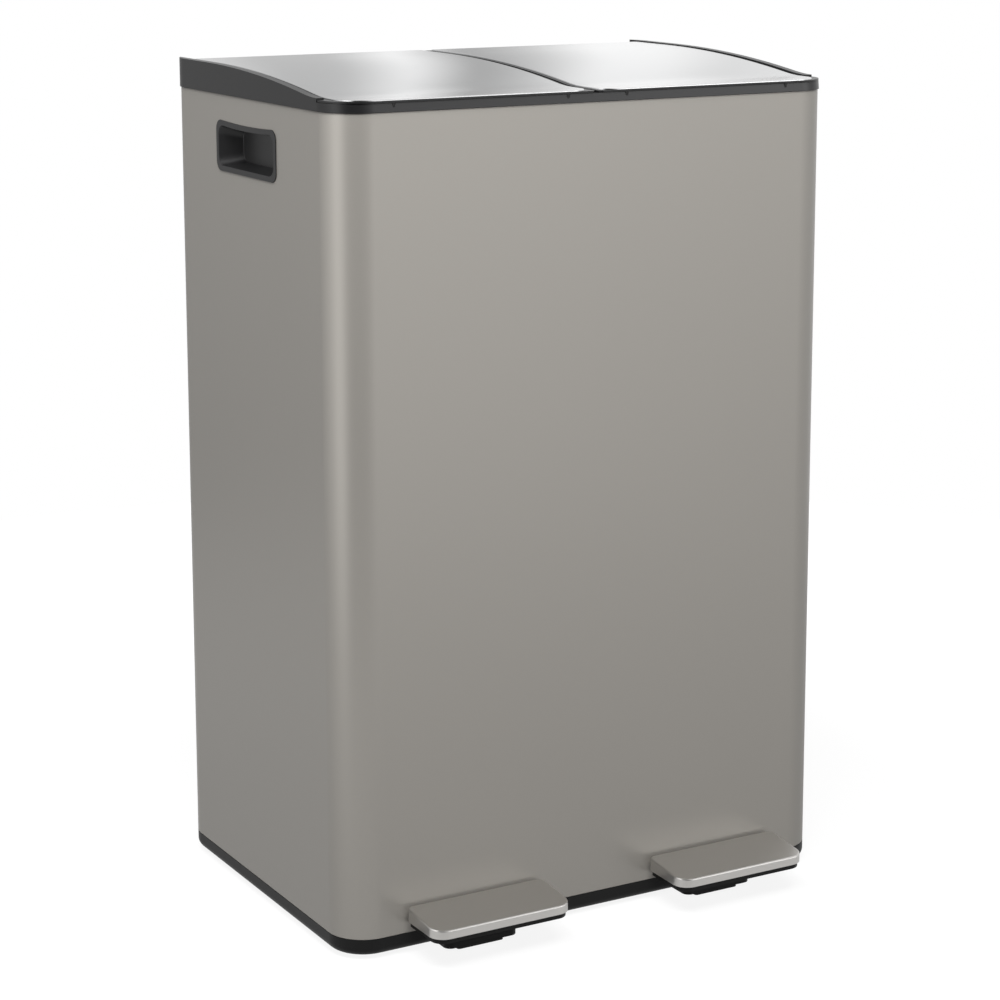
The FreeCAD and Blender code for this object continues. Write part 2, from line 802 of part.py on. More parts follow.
def crank_ear(x0):
    """One ear of the crank bracket: from the plate round the hinge rod and out to the crank pin."""
    x1 = x0 + crank_ear_thickness
    plate_z = crest - skin_thickness - liner_thickness - boss_height
    plate_rear = hinge_y - crank_plate_setback
    web = side_polygon(x0, x1, (
        (plate_rear - crank_plate_length, plate_z),
        (hinge_y, plate_z),
        (hinge_y, hinge_z),
        (crank_pin_y, crank_pin_z),
        (crank_pin_y - crank_eye_radius, crank_pin_z),
    ))
    ear = web.fuse(crosswise(x0, x1, hinge_y, hinge_z, crank_eye_radius))
    ear = ear.fuse(crosswise(x0, x1, crank_pin_y, crank_pin_z, crank_eye_radius))
    ear = ear.cut(crosswise(x0, x1, hinge_y, hinge_z, hinge_rod_radius + running_gap))
    return ear.cut(crosswise(x0, x1, crank_pin_y, crank_pin_z, lever_pin_radius + press_gap))


def lid_crank():
    plate_top = crest - skin_thickness - liner_thickness - boss_height
    plate_rear = hinge_y - crank_plate_setback
    plate = prism(
        pedal_x - crank_plate_width / 2, pedal_x + crank_plate_width / 2, plate_rear - crank_plate_length, plate_rear,
        plate_top - crank_plate_thickness, plate_top, crank_plate_corner,
    )
    for x, y in crank_bosses():
        plate = plate.cut(upright(x, y, plate_top - crank_plate_thickness, plate_top, screw_radius + fit_gap))
    offset = crank_ear_gap / 2
    left_ear = crank_ear(pedal_x - offset - crank_ear_thickness)
    right_ear = crank_ear(pedal_x + offset)
    return fuse_all([plate, left_ear, right_ear])


def cross_pin(y, z, half_length, radius):
    """Riveted pin along X through pedal_x, with a flat head at each end."""
    x0 = pedal_x - half_length
    x1 = pedal_x + half_length
    head_radius = radius + rivet_head_rim
    pin = crosswise(x0, x1, y, z, radius)
    left = crosswise(x0 - rivet_head_thickness, x0, y, z, head_radius)
    right = crosswise(x1, x1 + rivet_head_thickness, y, z, head_radius)
    return fuse_all([pin, left, right])


def crank_pin():
    return cross_pin(crank_pin_y, crank_pin_z, crank_ear_gap / 2 + crank_ear_thickness, lever_pin_radius)


def screw_up(x, y, seat_z, length):
    """Pan-head screw driven upwards; seat_z is the underside that its head bears on."""
    head = upright(x, y, seat_z - screw_head_height, seat_z, screw_head_radius)
    rim_edges = [edge for edge in head.Edges if edge.BoundBox.ZMax < seat_z - screw_head_chamfer]
    head = head.makeChamfer(screw_head_chamfer, rim_edges)
    return head.fuse(upright(x, y, seat_z, seat_z + length, screw_radius)).removeSplitter()


def crank_screws():
    seat = crest - skin_thickness - liner_thickness - boss_height - crank_plate_thickness
    return [screw_up(x, y, seat, crank_plate_thickness + screw_length - screw_tip_gap) for x, y in crank_bosses()]


def hinge_rod():
    inner_post, outer_post = post_starts()
    x0 = inner_post - hinge_rod_overhang
    x1 = outer_post + post_width + hinge_rod_overhang
    return crosswise(x0, x1, hinge_y, hinge_z, hinge_rod_radius)


# ---------------------------------------------------------------- buckets

def bucket_section(z, inset, wall):
    """Corner arcs of the bucket at one height, in order round it; inset is the draft at that height."""
    outline = rounded_outline(
        bucket_x0 + inset + wall, bucket_x1 - inset - wall, bucket_y0 + inset + wall, bucket_y1 - inset - wall,
        z, (bucket_corner - wall,) * 4,
    )
    return outline, [edge for edge in outline.Edges if isinstance(edge.Curve, Part.Circle)]


def drafted_block(low, high):
    """Solid between two bucket sections: flat walls, and corner arcs that keep their radius on the way."""
    low_outline, low_arcs = low
    high_outline, high_arcs = high
    faces = [Part.Face(low_outline), Part.Face(high_outline)]
    for index, (low_arc, high_arc) in enumerate(zip(low_arcs, high_arcs)):
        rise = high_arc.Curve.Center - low_arc.Curve.Center
        faces.append(low_arc.extrude(rise))
        following = (index + 1) % len(low_arcs)
        corners = [
            low_arc.Vertexes[-1].Point, low_arcs[following].Vertexes[0].Point,
            high_arcs[following].Vertexes[0].Point, high_arc.Vertexes[-1].Point,
        ]
        faces.append(Part.Face(Part.makePolygon(corners + corners[:1])))
    shell = Part.Shell(faces)
    shell.sewShape()
    return Part.Solid(shell)


def bucket_block(bottom, wall):
    """The bucket's outside, or its inside when wall is its thickness, with a bevelled bottom edge."""
    draft = math.tan(math.radians(bucket_taper_deg))
    knee = bottom + bucket_bottom_bevel
    knee_inset = (bucket_top - knee) * draft
    knee_section = bucket_section(knee, knee_inset, wall)
    walls = drafted_block(knee_section, bucket_section(bucket_top, 0, wall))
    bevel = drafted_block(bucket_section(bottom, knee_inset + bucket_bottom_bevel, wall), knee_section)
    return walls.fuse(bevel)


def bucket():
    bottom = bucket_top - bucket_height
    rim = prism(
        bucket_x0 - bucket_flange, bucket_x1 + bucket_flange, bucket_y0 - bucket_flange, bucket_y1 + bucket_flange,
        deck_top, bucket_top, bucket_corner + bucket_flange,
    )
    lip = prism(
        bucket_x0 - bucket_flange, bucket_x1 + bucket_flange, bucket_y0 - bucket_flange, bucket_y1 + bucket_flange,
        bucket_top, bucket_top + bucket_lip_height, bucket_corner + bucket_flange,
    )
    inside_lip = bucket_flange - bucket_lip_wall
    lip = lip.cut(prism(
        bucket_x0 - inside_lip, bucket_x1 + inside_lip, bucket_y0 - inside_lip, bucket_y1 + inside_lip,
        bucket_top, bucket_top + bucket_lip_height, bucket_corner + inside_lip,
    ))
    outside = bucket_block(bottom, 0)
    inside = bucket_block(bottom + bucket_wall, bucket_wall)
    return outside.fuse(rim).fuse(lip).cut(inside).removeSplitter()


# ---------------------------------------------------------------- pedals and levers

def wedge(inset, z_low, top_inset):
    """Pedal pad form: rounded plan, top sloping down to the front; insets draw it in all round."""
    front = -half_depth - pedal_gap - pedal_reach
    rear = -half_depth - pedal_gap
    z_front = pedal_bottom + pedal_front_thickness - top_inset
    z_rear = pedal_bottom + pedal_rear_thickness - top_inset
    front_corner, rear_corner = pedal_corner - inset, pedal_rear_corner - inset
    plan = prism(
        pedal_x - pedal_width / 2 + inset, pedal_x + pedal_width / 2 - inset, front + inset, rear - inset,
        z_low, z_rear + overshoot, (front_corner, front_corner, rear_corner, rear_corner),
    )
    profile = side_polygon(pedal_x - pedal_width, pedal_x + pedal_width, (
        (front, z_low), (rear, z_low), (rear, z_rear), (front, z_front),
    ))
    return plan.common(profile)


def drooped(shape, side):
    """Turns a pedal piece about its axle to the side's rest angle."""
    turned = shape.copy()
    turned.rotate(Vector(0, pivot_y, pivot_height), Vector(1, 0, 0), pedal_angle(side))
    return turned


def pedal_cover():
    outer = wedge(0, pedal_bottom, 0)
    middle = pedal_bottom + pedal_front_thickness / 2
    top_edges = [edge for edge in outer.Edges if edge.BoundBox.ZMin > middle]
    outer = outer.makeFillet(pedal_edge_round, top_edges)
    return outer.cut(wedge(cover_sheet, pedal_bottom, cover_sheet))


def plate_underside():
    return pedal_bottom - underlay_thickness


def pedal_screw_places():
    front_screw = -half_depth - pedal_gap - pedal_reach + pedal_screw_setback
    return [(pedal_x, front_screw), (pedal_x, front_screw + pedal_screw_spacing)]


def pedal_underlay():
    under = plate_underside()
    low = wedge(underlay_inset, under, pedal_front_thickness).common(
        box(0, body_width, -body_depth, 0, under, pedal_bottom)
    )
    core = wedge(cover_sheet + fit_gap, pedal_bottom, cover_sheet)
    pad = low.fuse(core)
    pocket = box(
        pedal_x - lever_width / 2 - fit_gap, pedal_x + lever_width / 2 + fit_gap,
        -half_depth - pedal_gap - pedal_reach + pedal_corner - fit_gap, -half_depth, under, under + lever_sheet,
    )
    pad = pad.cut(pocket)
    for x, y in pedal_screw_places():
        pad = pad.cut(upright(x, y, under, under + lever_sheet + screw_length, screw_radius + press_gap))
    return pad.removeSplitter()


def pedal_lever():
    """Pressed lever: a flat tongue under the pad, then a channel that runs to the push rod."""
    x0 = pedal_x - lever_width / 2
    x1 = pedal_x + lever_width / 2
    tongue_front = -half_depth - pedal_gap - pedal_reach + pedal_corner
    flange_front = -half_depth + lever_flange_setback
    under = plate_underside()
    top = under + lever_sheet
    pin_y, pin_z = pivot_y + lever_rear_run, pivot_height - lever_rear_drop
    web_rear = pin_y - 2 * lever_eye_radius - rod_head_wall
    crown = pivot_y + lug_radius
    rear_top = pin_z + lever_eye_radius
    tongue = prism(
        x0, x1, tongue_front, crown, under, top, (lever_corner, lever_corner, square_corner, square_corner)
    )
    slope = (rear_top - top) / (web_rear - crown)
    web = side_polygon(x0, x1, (
        (crown - overshoot, under), (crown - overshoot, top), (crown, top), (web_rear, rear_top),
        (web_rear, rear_top - lever_sheet), (crown, under),
    ))
    flange_points = (
        (flange_front, top), (crown, top), (pin_y, rear_top + slope * (pin_y - web_rear) / 2),
        (pin_y, pin_z - lever_eye_radius), (pivot_y + lug_radius, pivot_height - lug_radius),
        (pivot_y - lug_radius, pivot_height - lug_radius), (flange_front, pivot_height),
    )
    lever = tongue.fuse(web)
    for start in (x0, x1 - lever_sheet):
        end = start + lever_sheet
        flange = side_polygon(start, end, flange_points)
        flange = flange.fuse(crosswise(start, end, pin_y, pin_z, lever_eye_radius))
        lever = lever.fuse(flange)
    lever = lever.cut(crosswise(x0, x1, pivot_y, pivot_height, pivot_radius + running_gap))
    lever = lever.cut(crosswise(x0, x1, pin_y, pin_z, lever_pin_radius + press_gap))
    for x, y in pedal_screw_places():
        lever = lever.cut(upright(x, y, under, top, screw_radius + fit_gap))
    return lever.removeSplitter()


def pedal_screws():
    seat = plate_underside()
    return [screw_up(x, y, seat, lever_sheet + screw_length - screw_tip_gap) for x, y in pedal_screw_places()]


def lever_pin():
    return cross_pin(pivot_y + lever_rear_run, pivot_height - lever_rear_drop, lever_width / 2, lever_pin_radius)


def pedal_axle():
    head_x = pedal_x + lug_outer
    axle = crosswise(pedal_x - lug_outer - axle_overhang, head_x, pivot_y, pivot_height, pivot_radius)
    return axle.fuse(crosswise(head_x, head_x + axle_head_thickness, pivot_y, pivot_height, axle_head_radius))


def axle_clip():
    x1 = pedal_x - lug_outer
    x0 = x1 - axle_head_thickness
    ring = crosswise(x0, x1, pivot_y, pivot_height, axle_head_radius)
    return ring.cut(crosswise(x0, x1, pivot_y, pivot_height, pivot_radius + press_gap))


# ---------------------------------------------------------------- push rods, guards and dampers

def slotted_head(y_centre, z_centre, half_slide, play):
    """Flattened eye of the push rod: a plate across X with a slot along Y for a pin."""
    x0 = pedal_x - rod_head_thickness / 2
    x1 = x0 + rod_head_thickness
    slot_radius = lever_pin_radius + play

    def stadium(radius):
        front = crosswise(x0, x1, y_centre - half_slide, z_centre, radius)
        rear = crosswise(x0, x1, y_centre + half_slide, z_centre, radius)
        block = box(x0, x1, y_centre - half_slide, y_centre + half_slide, z_centre - radius, z_centre + radius)
        return fuse_all([front, rear, block])

    return stadium(slot_radius + rod_head_wall), stadium(slot_radius)


def push_rod(side):
    """Rod with an eye at each end; the slots take up the pins' small sideways travel."""
    pin_z = lever_pin_place(side)[1]
    slide = crank_radius * (1 - math.cos(swing)) / 2
    top_plate, top_slot = slotted_head(rod_y, crank_pin_z, slide, slot_play)
    low_plate, low_slot = slotted_head(rod_y, pin_z, slot_play, slot_play)
    rod = upright(pedal_x, rod_y, pin_z, crank_pin_z, rod_radius)
    return fuse_all([rod, top_plate, low_plate]).cut(top_slot).cut(low_slot)


def rod_guard():
    """Sheet channel, open to the rear, from the base floor to the rim's deck."""
    x0 = pedal_x - guard_width / 2
    x1 = pedal_x + guard_width / 2
    channel = box(x0, x1, guard_front, guard_back, floor_top, deck_bottom)
    channel = channel.cut(box(
        x0 + guard_sheet, x1 - guard_sheet, guard_front + guard_sheet, guard_back, floor_top, deck_bottom
    ))
    channel = channel.cut(box(x0, x1, guard_front, rod_y, floor_top, guard_lower_edge))
    for start in (x0 + guard_sheet, x1 - guard_sheet - guard_tab):
        middle = start + guard_tab / 2
        plate = box(
            start, start + guard_tab, rod_y + guard_tab / 2, rod_y + 1.5 * guard_tab,
            deck_bottom - guard_sheet, deck_bottom,
        )
        hole = upright(middle, rod_y + guard_tab, deck_bottom - guard_sheet, deck_bottom, screw_radius + fit_gap)
        channel = channel.fuse(plate).cut(hole)
    return channel.removeSplitter()


def guard_screws():
    screws = []
    for sx in (-1, 1):
        x = pedal_x + sx * (guard_width / 2 - guard_sheet - guard_tab / 2)
        screws.append(screw_up(x, rod_y + guard_tab, deck_bottom - guard_sheet, guard_sheet))
    return screws


def rod_guides():
    guides = []
    half = guard_width / 2 - guard_sheet
    for z in (lower_guide_height, upper_guide_height):
        block = box(
            pedal_x - half, pedal_x + half, guard_front + guard_sheet, rod_y + guide_back, z, z + guide_height
        )
        guides.append(block.cut(upright(pedal_x, rod_y, z, z + guide_height, rod_radius + running_gap)))
    return guides


def damper_cylinder():
    x = pedal_x + damper_offset
    tube = upright(x, rod_y, damper_bottom, damper_top, damper_radius)
    tube = tube.cut(upright(x, rod_y, damper_bottom + damper_wall, damper_top - damper_wall, damper_bore))
    return tube.cut(upright(x, rod_y, damper_top - damper_wall, damper_top, plunger_radius + running_gap))


def damper_plunger():
    x = pedal_x + damper_offset
    piston_bottom = damper_bottom + 2 * damper_wall
    stem = upright(x, rod_y, piston_bottom, collar_bottom + collar_height, plunger_radius)
    return stem.fuse(upright(x, rod_y, piston_bottom, piston_bottom + piston_length, damper_bore - running_gap))


def rod_collar():
    """Arm clamped to the push rod that carries the damper's plunger."""
    z0 = collar_bottom
    z1 = collar_bottom + collar_height
    reach = rod_radius + collar_wall
    arm = prism(
        pedal_x - reach, pedal_x + damper_offset + reach, rod_y - reach, rod_y + reach, z0, z1, collar_corner
    )
    arm = arm.cut(upright(pedal_x, rod_y, z0, z1, rod_radius + press_gap))
    return arm.cut(upright(pedal_x + damper_offset, rod_y, z0, z1, plunger_radius + press_gap))


def damper_clips():
    """Two clips that hold the damper to the guard's side wall."""
    x = pedal_x + damper_offset
    x_wall = pedal_x + guard_width / 2 - guard_sheet
    clips = []
    for z in (damper_bottom + clip_height, damper_top - 2 * clip_height):
        ring = upright(x, rod_y, z, z + clip_height, damper_radius + clip_wall)
        arm = box(x, x_wall, rod_y - clip_arm_width / 2, rod_y + clip_arm_width / 2, z, z + clip_height)
        clip = ring.fuse(arm).cut(upright(x, rod_y, z, z + clip_height, damper_radius + press_gap))
        clips.append(clip.removeSplitter())
    return clips


# ---------------------------------------------------------------- output

os.makedirs("parts", exist_ok=True)

write("body_shell", body_shell())
write("base_tray", base_tray())
write("base_feet", base_feet())
write("top_rim", top_rim())
write("lid_bumpers", lid_bumpers())
write("lever_rest_pads", [lever_rest_pad("right"), mirrored(lever_rest_pad("left"))])
write("axle_clips", both_sides(axle_clip()))
write("guard_screws", guard_screws() + [mirrored(screw) for screw in guard_screws()])
write("damper_clips", damper_clips() + [mirrored(clip) for clip in damper_clips()])

PAIRS = {
    "handle_cup": handle_cup, "bucket": bucket, "hinge_rod": hinge_rod, "lid_skin": lid_skin,
    "lid_liner": lid_liner, "lid_crank": lid_crank, "crank_pin": crank_pin, "crank_screws": crank_screws,
    "pedal_axle": pedal_axle, "rod_guard": rod_guard, "rod_guides": rod_guides,
    "damper_cylinder": damper_cylinder, "damper_plunger": damper_plunger, "rod_collar": rod_collar,
}
for name, build in PAIRS.items():
    write_pair(name, build())

PEDAL_PIECES = {
    "pedal_cover": pedal_cover, "pedal_underlay": pedal_underlay, "pedal_lever": pedal_lever,
    "pedal_screws": pedal_screws, "lever_pin": lever_pin,
}
for name, build in PEDAL_PIECES.items():
    made = build()
    group = made if isinstance(made, list) else [made]
    write(name + "_right", [drooped(shape, "right") for shape in group])
    write(name + "_left", [mirrored(drooped(shape, "left")) for shape in group])
write("push_rod_right", push_rod("right"))
write("push_rod_left", mirrored(push_rod("left")))

pedal_stroke = math.degrees(
    math.asin((rod_stroke - lever_rear_drop) / math.hypot(lever_rear_run, lever_rear_drop))
    + math.asin(lever_rear_drop / math.hypot(lever_rear_run, lever_rear_drop))
)
print("hinge axis y z", hinge_y, hinge_z, "rod stroke", round(rod_stroke, 4))
print("pedal stroke deg", round(pedal_stroke, 4), "pivot y z", pivot_y, pivot_height)
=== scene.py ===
"""Looks of the double pedal bin: finishes, finely built visible pieces, floor, light and camera."""

import json
import logging
import math
from contextlib import contextmanager
from dataclasses import dataclass, field
from enum import Enum
from typing import Callable, ClassVar, Iterator, Sequence

import bmesh
import bpy
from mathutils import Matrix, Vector

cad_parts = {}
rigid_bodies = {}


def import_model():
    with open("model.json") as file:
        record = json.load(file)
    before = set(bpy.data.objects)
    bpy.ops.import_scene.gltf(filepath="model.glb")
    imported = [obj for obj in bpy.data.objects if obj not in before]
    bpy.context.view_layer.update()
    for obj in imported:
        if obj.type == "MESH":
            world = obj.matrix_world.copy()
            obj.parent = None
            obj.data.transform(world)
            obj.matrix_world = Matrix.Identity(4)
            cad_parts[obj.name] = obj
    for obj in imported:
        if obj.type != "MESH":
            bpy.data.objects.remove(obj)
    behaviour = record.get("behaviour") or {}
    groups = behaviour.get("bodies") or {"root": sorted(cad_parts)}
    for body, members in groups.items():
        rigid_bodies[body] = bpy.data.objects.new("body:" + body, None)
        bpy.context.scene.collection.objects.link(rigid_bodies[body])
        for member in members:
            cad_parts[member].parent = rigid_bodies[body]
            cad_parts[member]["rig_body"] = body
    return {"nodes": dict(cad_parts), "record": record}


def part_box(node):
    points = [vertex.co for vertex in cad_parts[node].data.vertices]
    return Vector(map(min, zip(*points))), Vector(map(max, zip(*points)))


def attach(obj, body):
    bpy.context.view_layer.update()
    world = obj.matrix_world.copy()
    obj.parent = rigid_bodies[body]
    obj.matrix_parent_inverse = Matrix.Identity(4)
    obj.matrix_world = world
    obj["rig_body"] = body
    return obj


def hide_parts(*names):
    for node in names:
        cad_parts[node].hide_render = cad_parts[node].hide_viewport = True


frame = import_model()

LOG = logging.getLogger("pedal_bin")
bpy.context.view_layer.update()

Colour = tuple[float, float, float]
Point2 = tuple[float, float]
Point3 = tuple[float, float, float]
Socket = bpy.types.NodeSocket
Node = bpy.types.Node
Mesh = bpy.types.Mesh
Sockets = bpy.types.bpy_prop_collection
Inputs = dict[str | int, object]

WELD_DISTANCE = 1e-6
FLAT_ANGLE = 0.4
BEVEL_ANGLE = 32.0
BEVEL_SEGMENTS = 2
SHARP_ANGLE = 40.0


class Side(Enum):
    """The two compartments; the value is the sign of X."""

    LEFT = -1
    RIGHT = 1

    @property
    def suffix(self) -> str:
        """Ending of the node and body names on this side."""
        return self.name.lower()


# ---------- shader groups


class NodeBench:
    """Short calls for adding and joining shader or geometry nodes in one tree."""

    def __init__(self, tree: bpy.types.NodeTree) -> None:
        """Opens the bench.

        Args:
            tree: the node tree to build in.
        """
        self.tree = tree

    def add(self, kind: str, inputs: Inputs | None = None, **settings: object) -> Node:
        """Adds a node.

        Args:
            kind: the node's type name.
            inputs: what its inputs get: a socket is joined, and any other value is set.
            settings: attributes of the node to set.

        Returns:
            The node.
        """
        node = self.tree.nodes.new(kind)
        for name, value in settings.items():
            setattr(node, name, value)
        for name, value in (inputs or {}).items():
            if isinstance(value, Socket):
                self.join(value, node.inputs[name])
            else:
                node.inputs[name].default_value = value
        return node

    def join(self, out: Socket, into: Socket) -> None:
        """Joins two sockets."""
        self.tree.links.new(out, into)

    def math(self, operation: str, first: Socket | float, second: Socket | float | None = None) -> Socket:
        """A math node on two sockets or numbers.

        Args:
            operation: name of the operation.
            first: a socket or a number.
            second: a socket or a number, or None where the operation takes one.

        Returns:
            The node's output socket.
        """
        inputs = {0: first} if second is None else {0: first, 1: second}
        return self.add("ShaderNodeMath", inputs, operation=operation).outputs[0]


@dataclass(frozen=True)
class EffectGroup:
    """A shader node group that several materials share, built once."""

    name: str
    inputs: tuple[tuple[str, str, object], ...]
    outputs: tuple[tuple[str, str], ...]

    def tree(self) -> bpy.types.NodeTree:
        """The group's node tree, made at its first use."""
        found = bpy.data.node_groups.get(self.name)
        if found is not None:
            return found
        made = bpy.data.node_groups.new(self.name, "ShaderNodeTree")
        for name, kind, value in self.inputs:
            socket = made.interface.new_socket(name=name, in_out="INPUT", socket_type=kind)
            socket.default_value = value
        for name, kind in self.outputs:
            made.interface.new_socket(name=name, in_out="OUTPUT", socket_type=kind)
        bench = NodeBench(made)
        self.fill(bench, bench.add("NodeGroupInput"), bench.add("NodeGroupOutput"))
        return made

    def fill(self, bench: NodeBench, start: Node, end: Node) -> None:
        """Builds the inside of the group."""
        raise NotImplementedError

    @staticmethod
    def noise(bench: NodeBench, place: Socket, scale: Socket | float, detail: float) -> Socket:
        """The value of a noise texture at the given coordinates."""
        made = bench.add("ShaderNodeTexNoise", {"Vector": place, "Scale": scale, "Detail": detail})
        return made.outputs["Fac"]

    @staticmethod
    def put_out(
        bench: NodeBench, start: Node, end: Node, tone: Socket, change: Socket, height: Socket
    ) -> None:
        """Joins what every group puts out.

        Args:
            bench: the group's bench.
            start: the group's inputs.
            end: the group's outputs.
            tone: how much lighter the colour is, as a share.
            change: what the roughness's change is multiplied by.
            height: the height for the bump.
        """
        level = bench.math("ADD", tone, 1.0)
        given = start.outputs
        colour = bench.add("ShaderNodeVectorMath", {0: given["Colour"], "Scale": level}, operation="SCALE")
        gloss = bench.math("MULTIPLY", change, given["Gloss Change"])
        bench.join(colour.outputs[0], end.inputs["Colour"])
        bench.join(bench.math("ADD", given["Roughness"], gloss), end.inputs["Roughness"])
        bench.join(height, end.inputs["Height"])


class FineGrain(EffectGroup):
    """Fine even grain of a powder coat or a moulded surface, with slow variation of tone and gloss."""

    grain_detail: ClassVar[float] = 3.0
    cloud_detail: ClassVar[float] = 2.0

    def fill(self, bench: NodeBench, start: Node, end: Node) -> None:
        """Builds the inside of the group."""
        place = bench.add("ShaderNodeTexCoord").outputs["Object"]
        grain = self.noise(bench, place, start.outputs["Grain Scale"], self.grain_detail)
        slow = self.noise(bench, place, start.outputs["Tone Scale"], self.cloud_detail)
        cloud = bench.math("SUBTRACT", slow, 0.5)
        tone = bench.math("MULTIPLY", cloud, start.outputs["Tone Change"])
        speck = bench.math("MULTIPLY", bench.math("SUBTRACT", grain, 0.5), start.outputs["Speck"])
        self.put_out(bench, start, end, bench.math("ADD", tone, speck), cloud, grain)


class BrushLines(EffectGroup):
    """Fine parallel polishing lines along X of sheet metal, with slow variation of gloss."""

    line_detail: ClassVar[float] = 4.0
    cloud_scale: ClassVar[float] = 14.0
    cloud_detail: ClassVar[float] = 2.0

    def fill(self, bench: NodeBench, start: Node, end: Node) -> None:
        """Builds the inside of the group."""
        place = bench.add("ShaderNodeTexCoord").outputs["Object"]
        scale = start.outputs["Line Scale"]
        stretch = bench.add("ShaderNodeVectorMath", {0: place, 1: scale}, operation="MULTIPLY")
        lines = self.noise(bench, stretch.outputs[0], 1.0, self.line_detail)
        slow = self.noise(bench, place, self.cloud_scale, self.cloud_detail)
        line = bench.math("SUBTRACT", lines, 0.5)
        change = bench.math("ADD", line, bench.math("SUBTRACT", slow, 0.5))
        tone = bench.math("MULTIPLY", line, start.outputs["Line Tone"])
        self.put_out(bench, start, end, tone, change, lines)


SURFACE_OUTPUTS = (
    ("Colour", "NodeSocketColor"), ("Roughness", "NodeSocketFloat"), ("Height", "NodeSocketFloat"),
)
FINE_GRAIN = FineGrain(
    "fine_grain",
    (
        ("Colour", "NodeSocketColor", (0.5, 0.5, 0.5, 1.0)), ("Roughness", "NodeSocketFloat", 0.5),
        ("Grain Scale", "NodeSocketFloat", 900.0), ("Tone Scale", "NodeSocketFloat", 6.0),
        ("Tone Change", "NodeSocketFloat", 0.02), ("Speck", "NodeSocketFloat", 0.03),
        ("Gloss Change", "NodeSocketFloat", 0.05),
    ),
    SURFACE_OUTPUTS,
)
BRUSH_LINES = BrushLines(
    "brush_lines",
    (
        ("Colour", "NodeSocketColor", (0.5, 0.5, 0.5, 1.0)), ("Roughness", "NodeSocketFloat", 0.3),
        ("Line Scale", "NodeSocketVector", (30.0, 3000.0, 3000.0)), ("Line Tone", "NodeSocketFloat", 0.05),
        ("Gloss Change", "NodeSocketFloat", 0.06),
    ),
    SURFACE_OUTPUTS,
)


# ---------- finishes


@dataclass(frozen=True)
class Finish:
    """One finish of the bin: a shared surface effect and the values of its own shader."""

    name: str
    effect: EffectGroup
    values: dict[str, object]
    colour: Colour
    roughness: float
    bump: float
    bump_depth: float
    shader: dict[str, float] = field(default_factory=dict)

    def material(self) -> bpy.types.Material:
        """The finish's material, made at its first use."""
        found = bpy.data.materials.get(self.name)
        if found is not None:
            return found
        made = bpy.data.materials.new(self.name)
        made.use_nodes = True
        made.node_tree.nodes.clear()
        bench = NodeBench(made.node_tree)
        given = {"Colour": (*self.colour, 1.0), "Roughness": self.roughness, **self.values}
        effect = bench.add("ShaderNodeGroup", given, node_tree=self.effect.tree()).outputs
        bump = bench.add("ShaderNodeBump", {
            "Strength": self.bump, "Distance": self.bump_depth, "Height": effect["Height"],
        })
        shader = bench.add("ShaderNodeBsdfPrincipled", {
            **self.shader, "Base Color": effect["Colour"], "Roughness": effect["Roughness"],
            "Normal": bump.outputs["Normal"],
        })
        bench.add("ShaderNodeOutputMaterial", {"Surface": shader.outputs[0]})
        return made


POWDER_COAT = Finish(
    "powder_coated_steel", FINE_GRAIN,
    {"Grain Scale": 1100.0, "Tone Scale": 4.0, "Tone Change": 0.03, "Speck": 0.05, "Gloss Change": 0.05},
    (0.335, 0.318, 0.292), 0.34, 0.08, 0.00003, {"Metallic": 0.3, "Specular IOR Level": 0.4},
)
RIM_PLASTIC = Finish(
    "rim_moulding", FINE_GRAIN,
    {"Grain Scale": 1400.0, "Tone Change": 0.05, "Speck": 0.1},
    (0.011, 0.011, 0.0115), 0.32, 0.2, 0.0001, {"Specular IOR Level": 0.36},
)
BASE_PLASTIC = Finish(
    "base_moulding", FINE_GRAIN,
    {"Grain Scale": 1400.0, "Tone Change": 0.05, "Speck": 0.1},
    (0.008, 0.008, 0.008), 0.42, 0.3, 0.0001, {"Specular IOR Level": 0.18},
)
BUCKET_PLASTIC = Finish(
    "bucket_moulding", FINE_GRAIN,
    {"Grain Scale": 700.0, "Tone Change": 0.06, "Speck": 0.06},
    (0.09, 0.09, 0.095), 0.42, 0.2, 0.0001,
)
NATURAL_PLASTIC = Finish(
    "natural_moulding", FINE_GRAIN,
    {"Grain Scale": 900.0}, (0.62, 0.6, 0.55), 0.4, 0.15, 0.0001, {"Subsurface Weight": 0.05},
)
DAMPER_PLASTIC = Finish(
    "damper_tube", FINE_GRAIN,
    {"Grain Scale": 600.0}, (0.1, 0.1, 0.11), 0.25, 0.1, 0.0001,
)
RUBBER = Finish(
    "black_rubber", FINE_GRAIN,
    {"Grain Scale": 1500.0, "Speck": 0.2}, (0.02, 0.02, 0.02), 0.75, 0.4, 0.0001,
)
LID_STEEL = Finish(
    "satin_lid_steel", BRUSH_LINES,
    {"Line Scale": (25.0, 2600.0, 2600.0), "Line Tone": 0.04, "Gloss Change": 0.03},
    (0.71, 0.715, 0.72), 0.14, 0.04, 0.00002, {"Metallic": 1.0},
)
PEDAL_STEEL = Finish(
    "satin_pedal_steel", BRUSH_LINES,
    {"Line Scale": (40.0, 2600.0, 2600.0), "Line Tone": 0.06, "Gloss Change": 0.05},
    (0.6, 0.587, 0.565), 0.33, 0.1, 0.00005, {"Metallic": 0.96},
)
ZINC = Finish(
    "zinc_plate", BRUSH_LINES,
    {"Line Scale": (500.0, 500.0, 500.0), "Line Tone": 0.12, "Gloss Change": 0.12},
    (0.55, 0.56, 0.57), 0.34, 0.1, 0.00005, {"Metallic": 1.0},
)

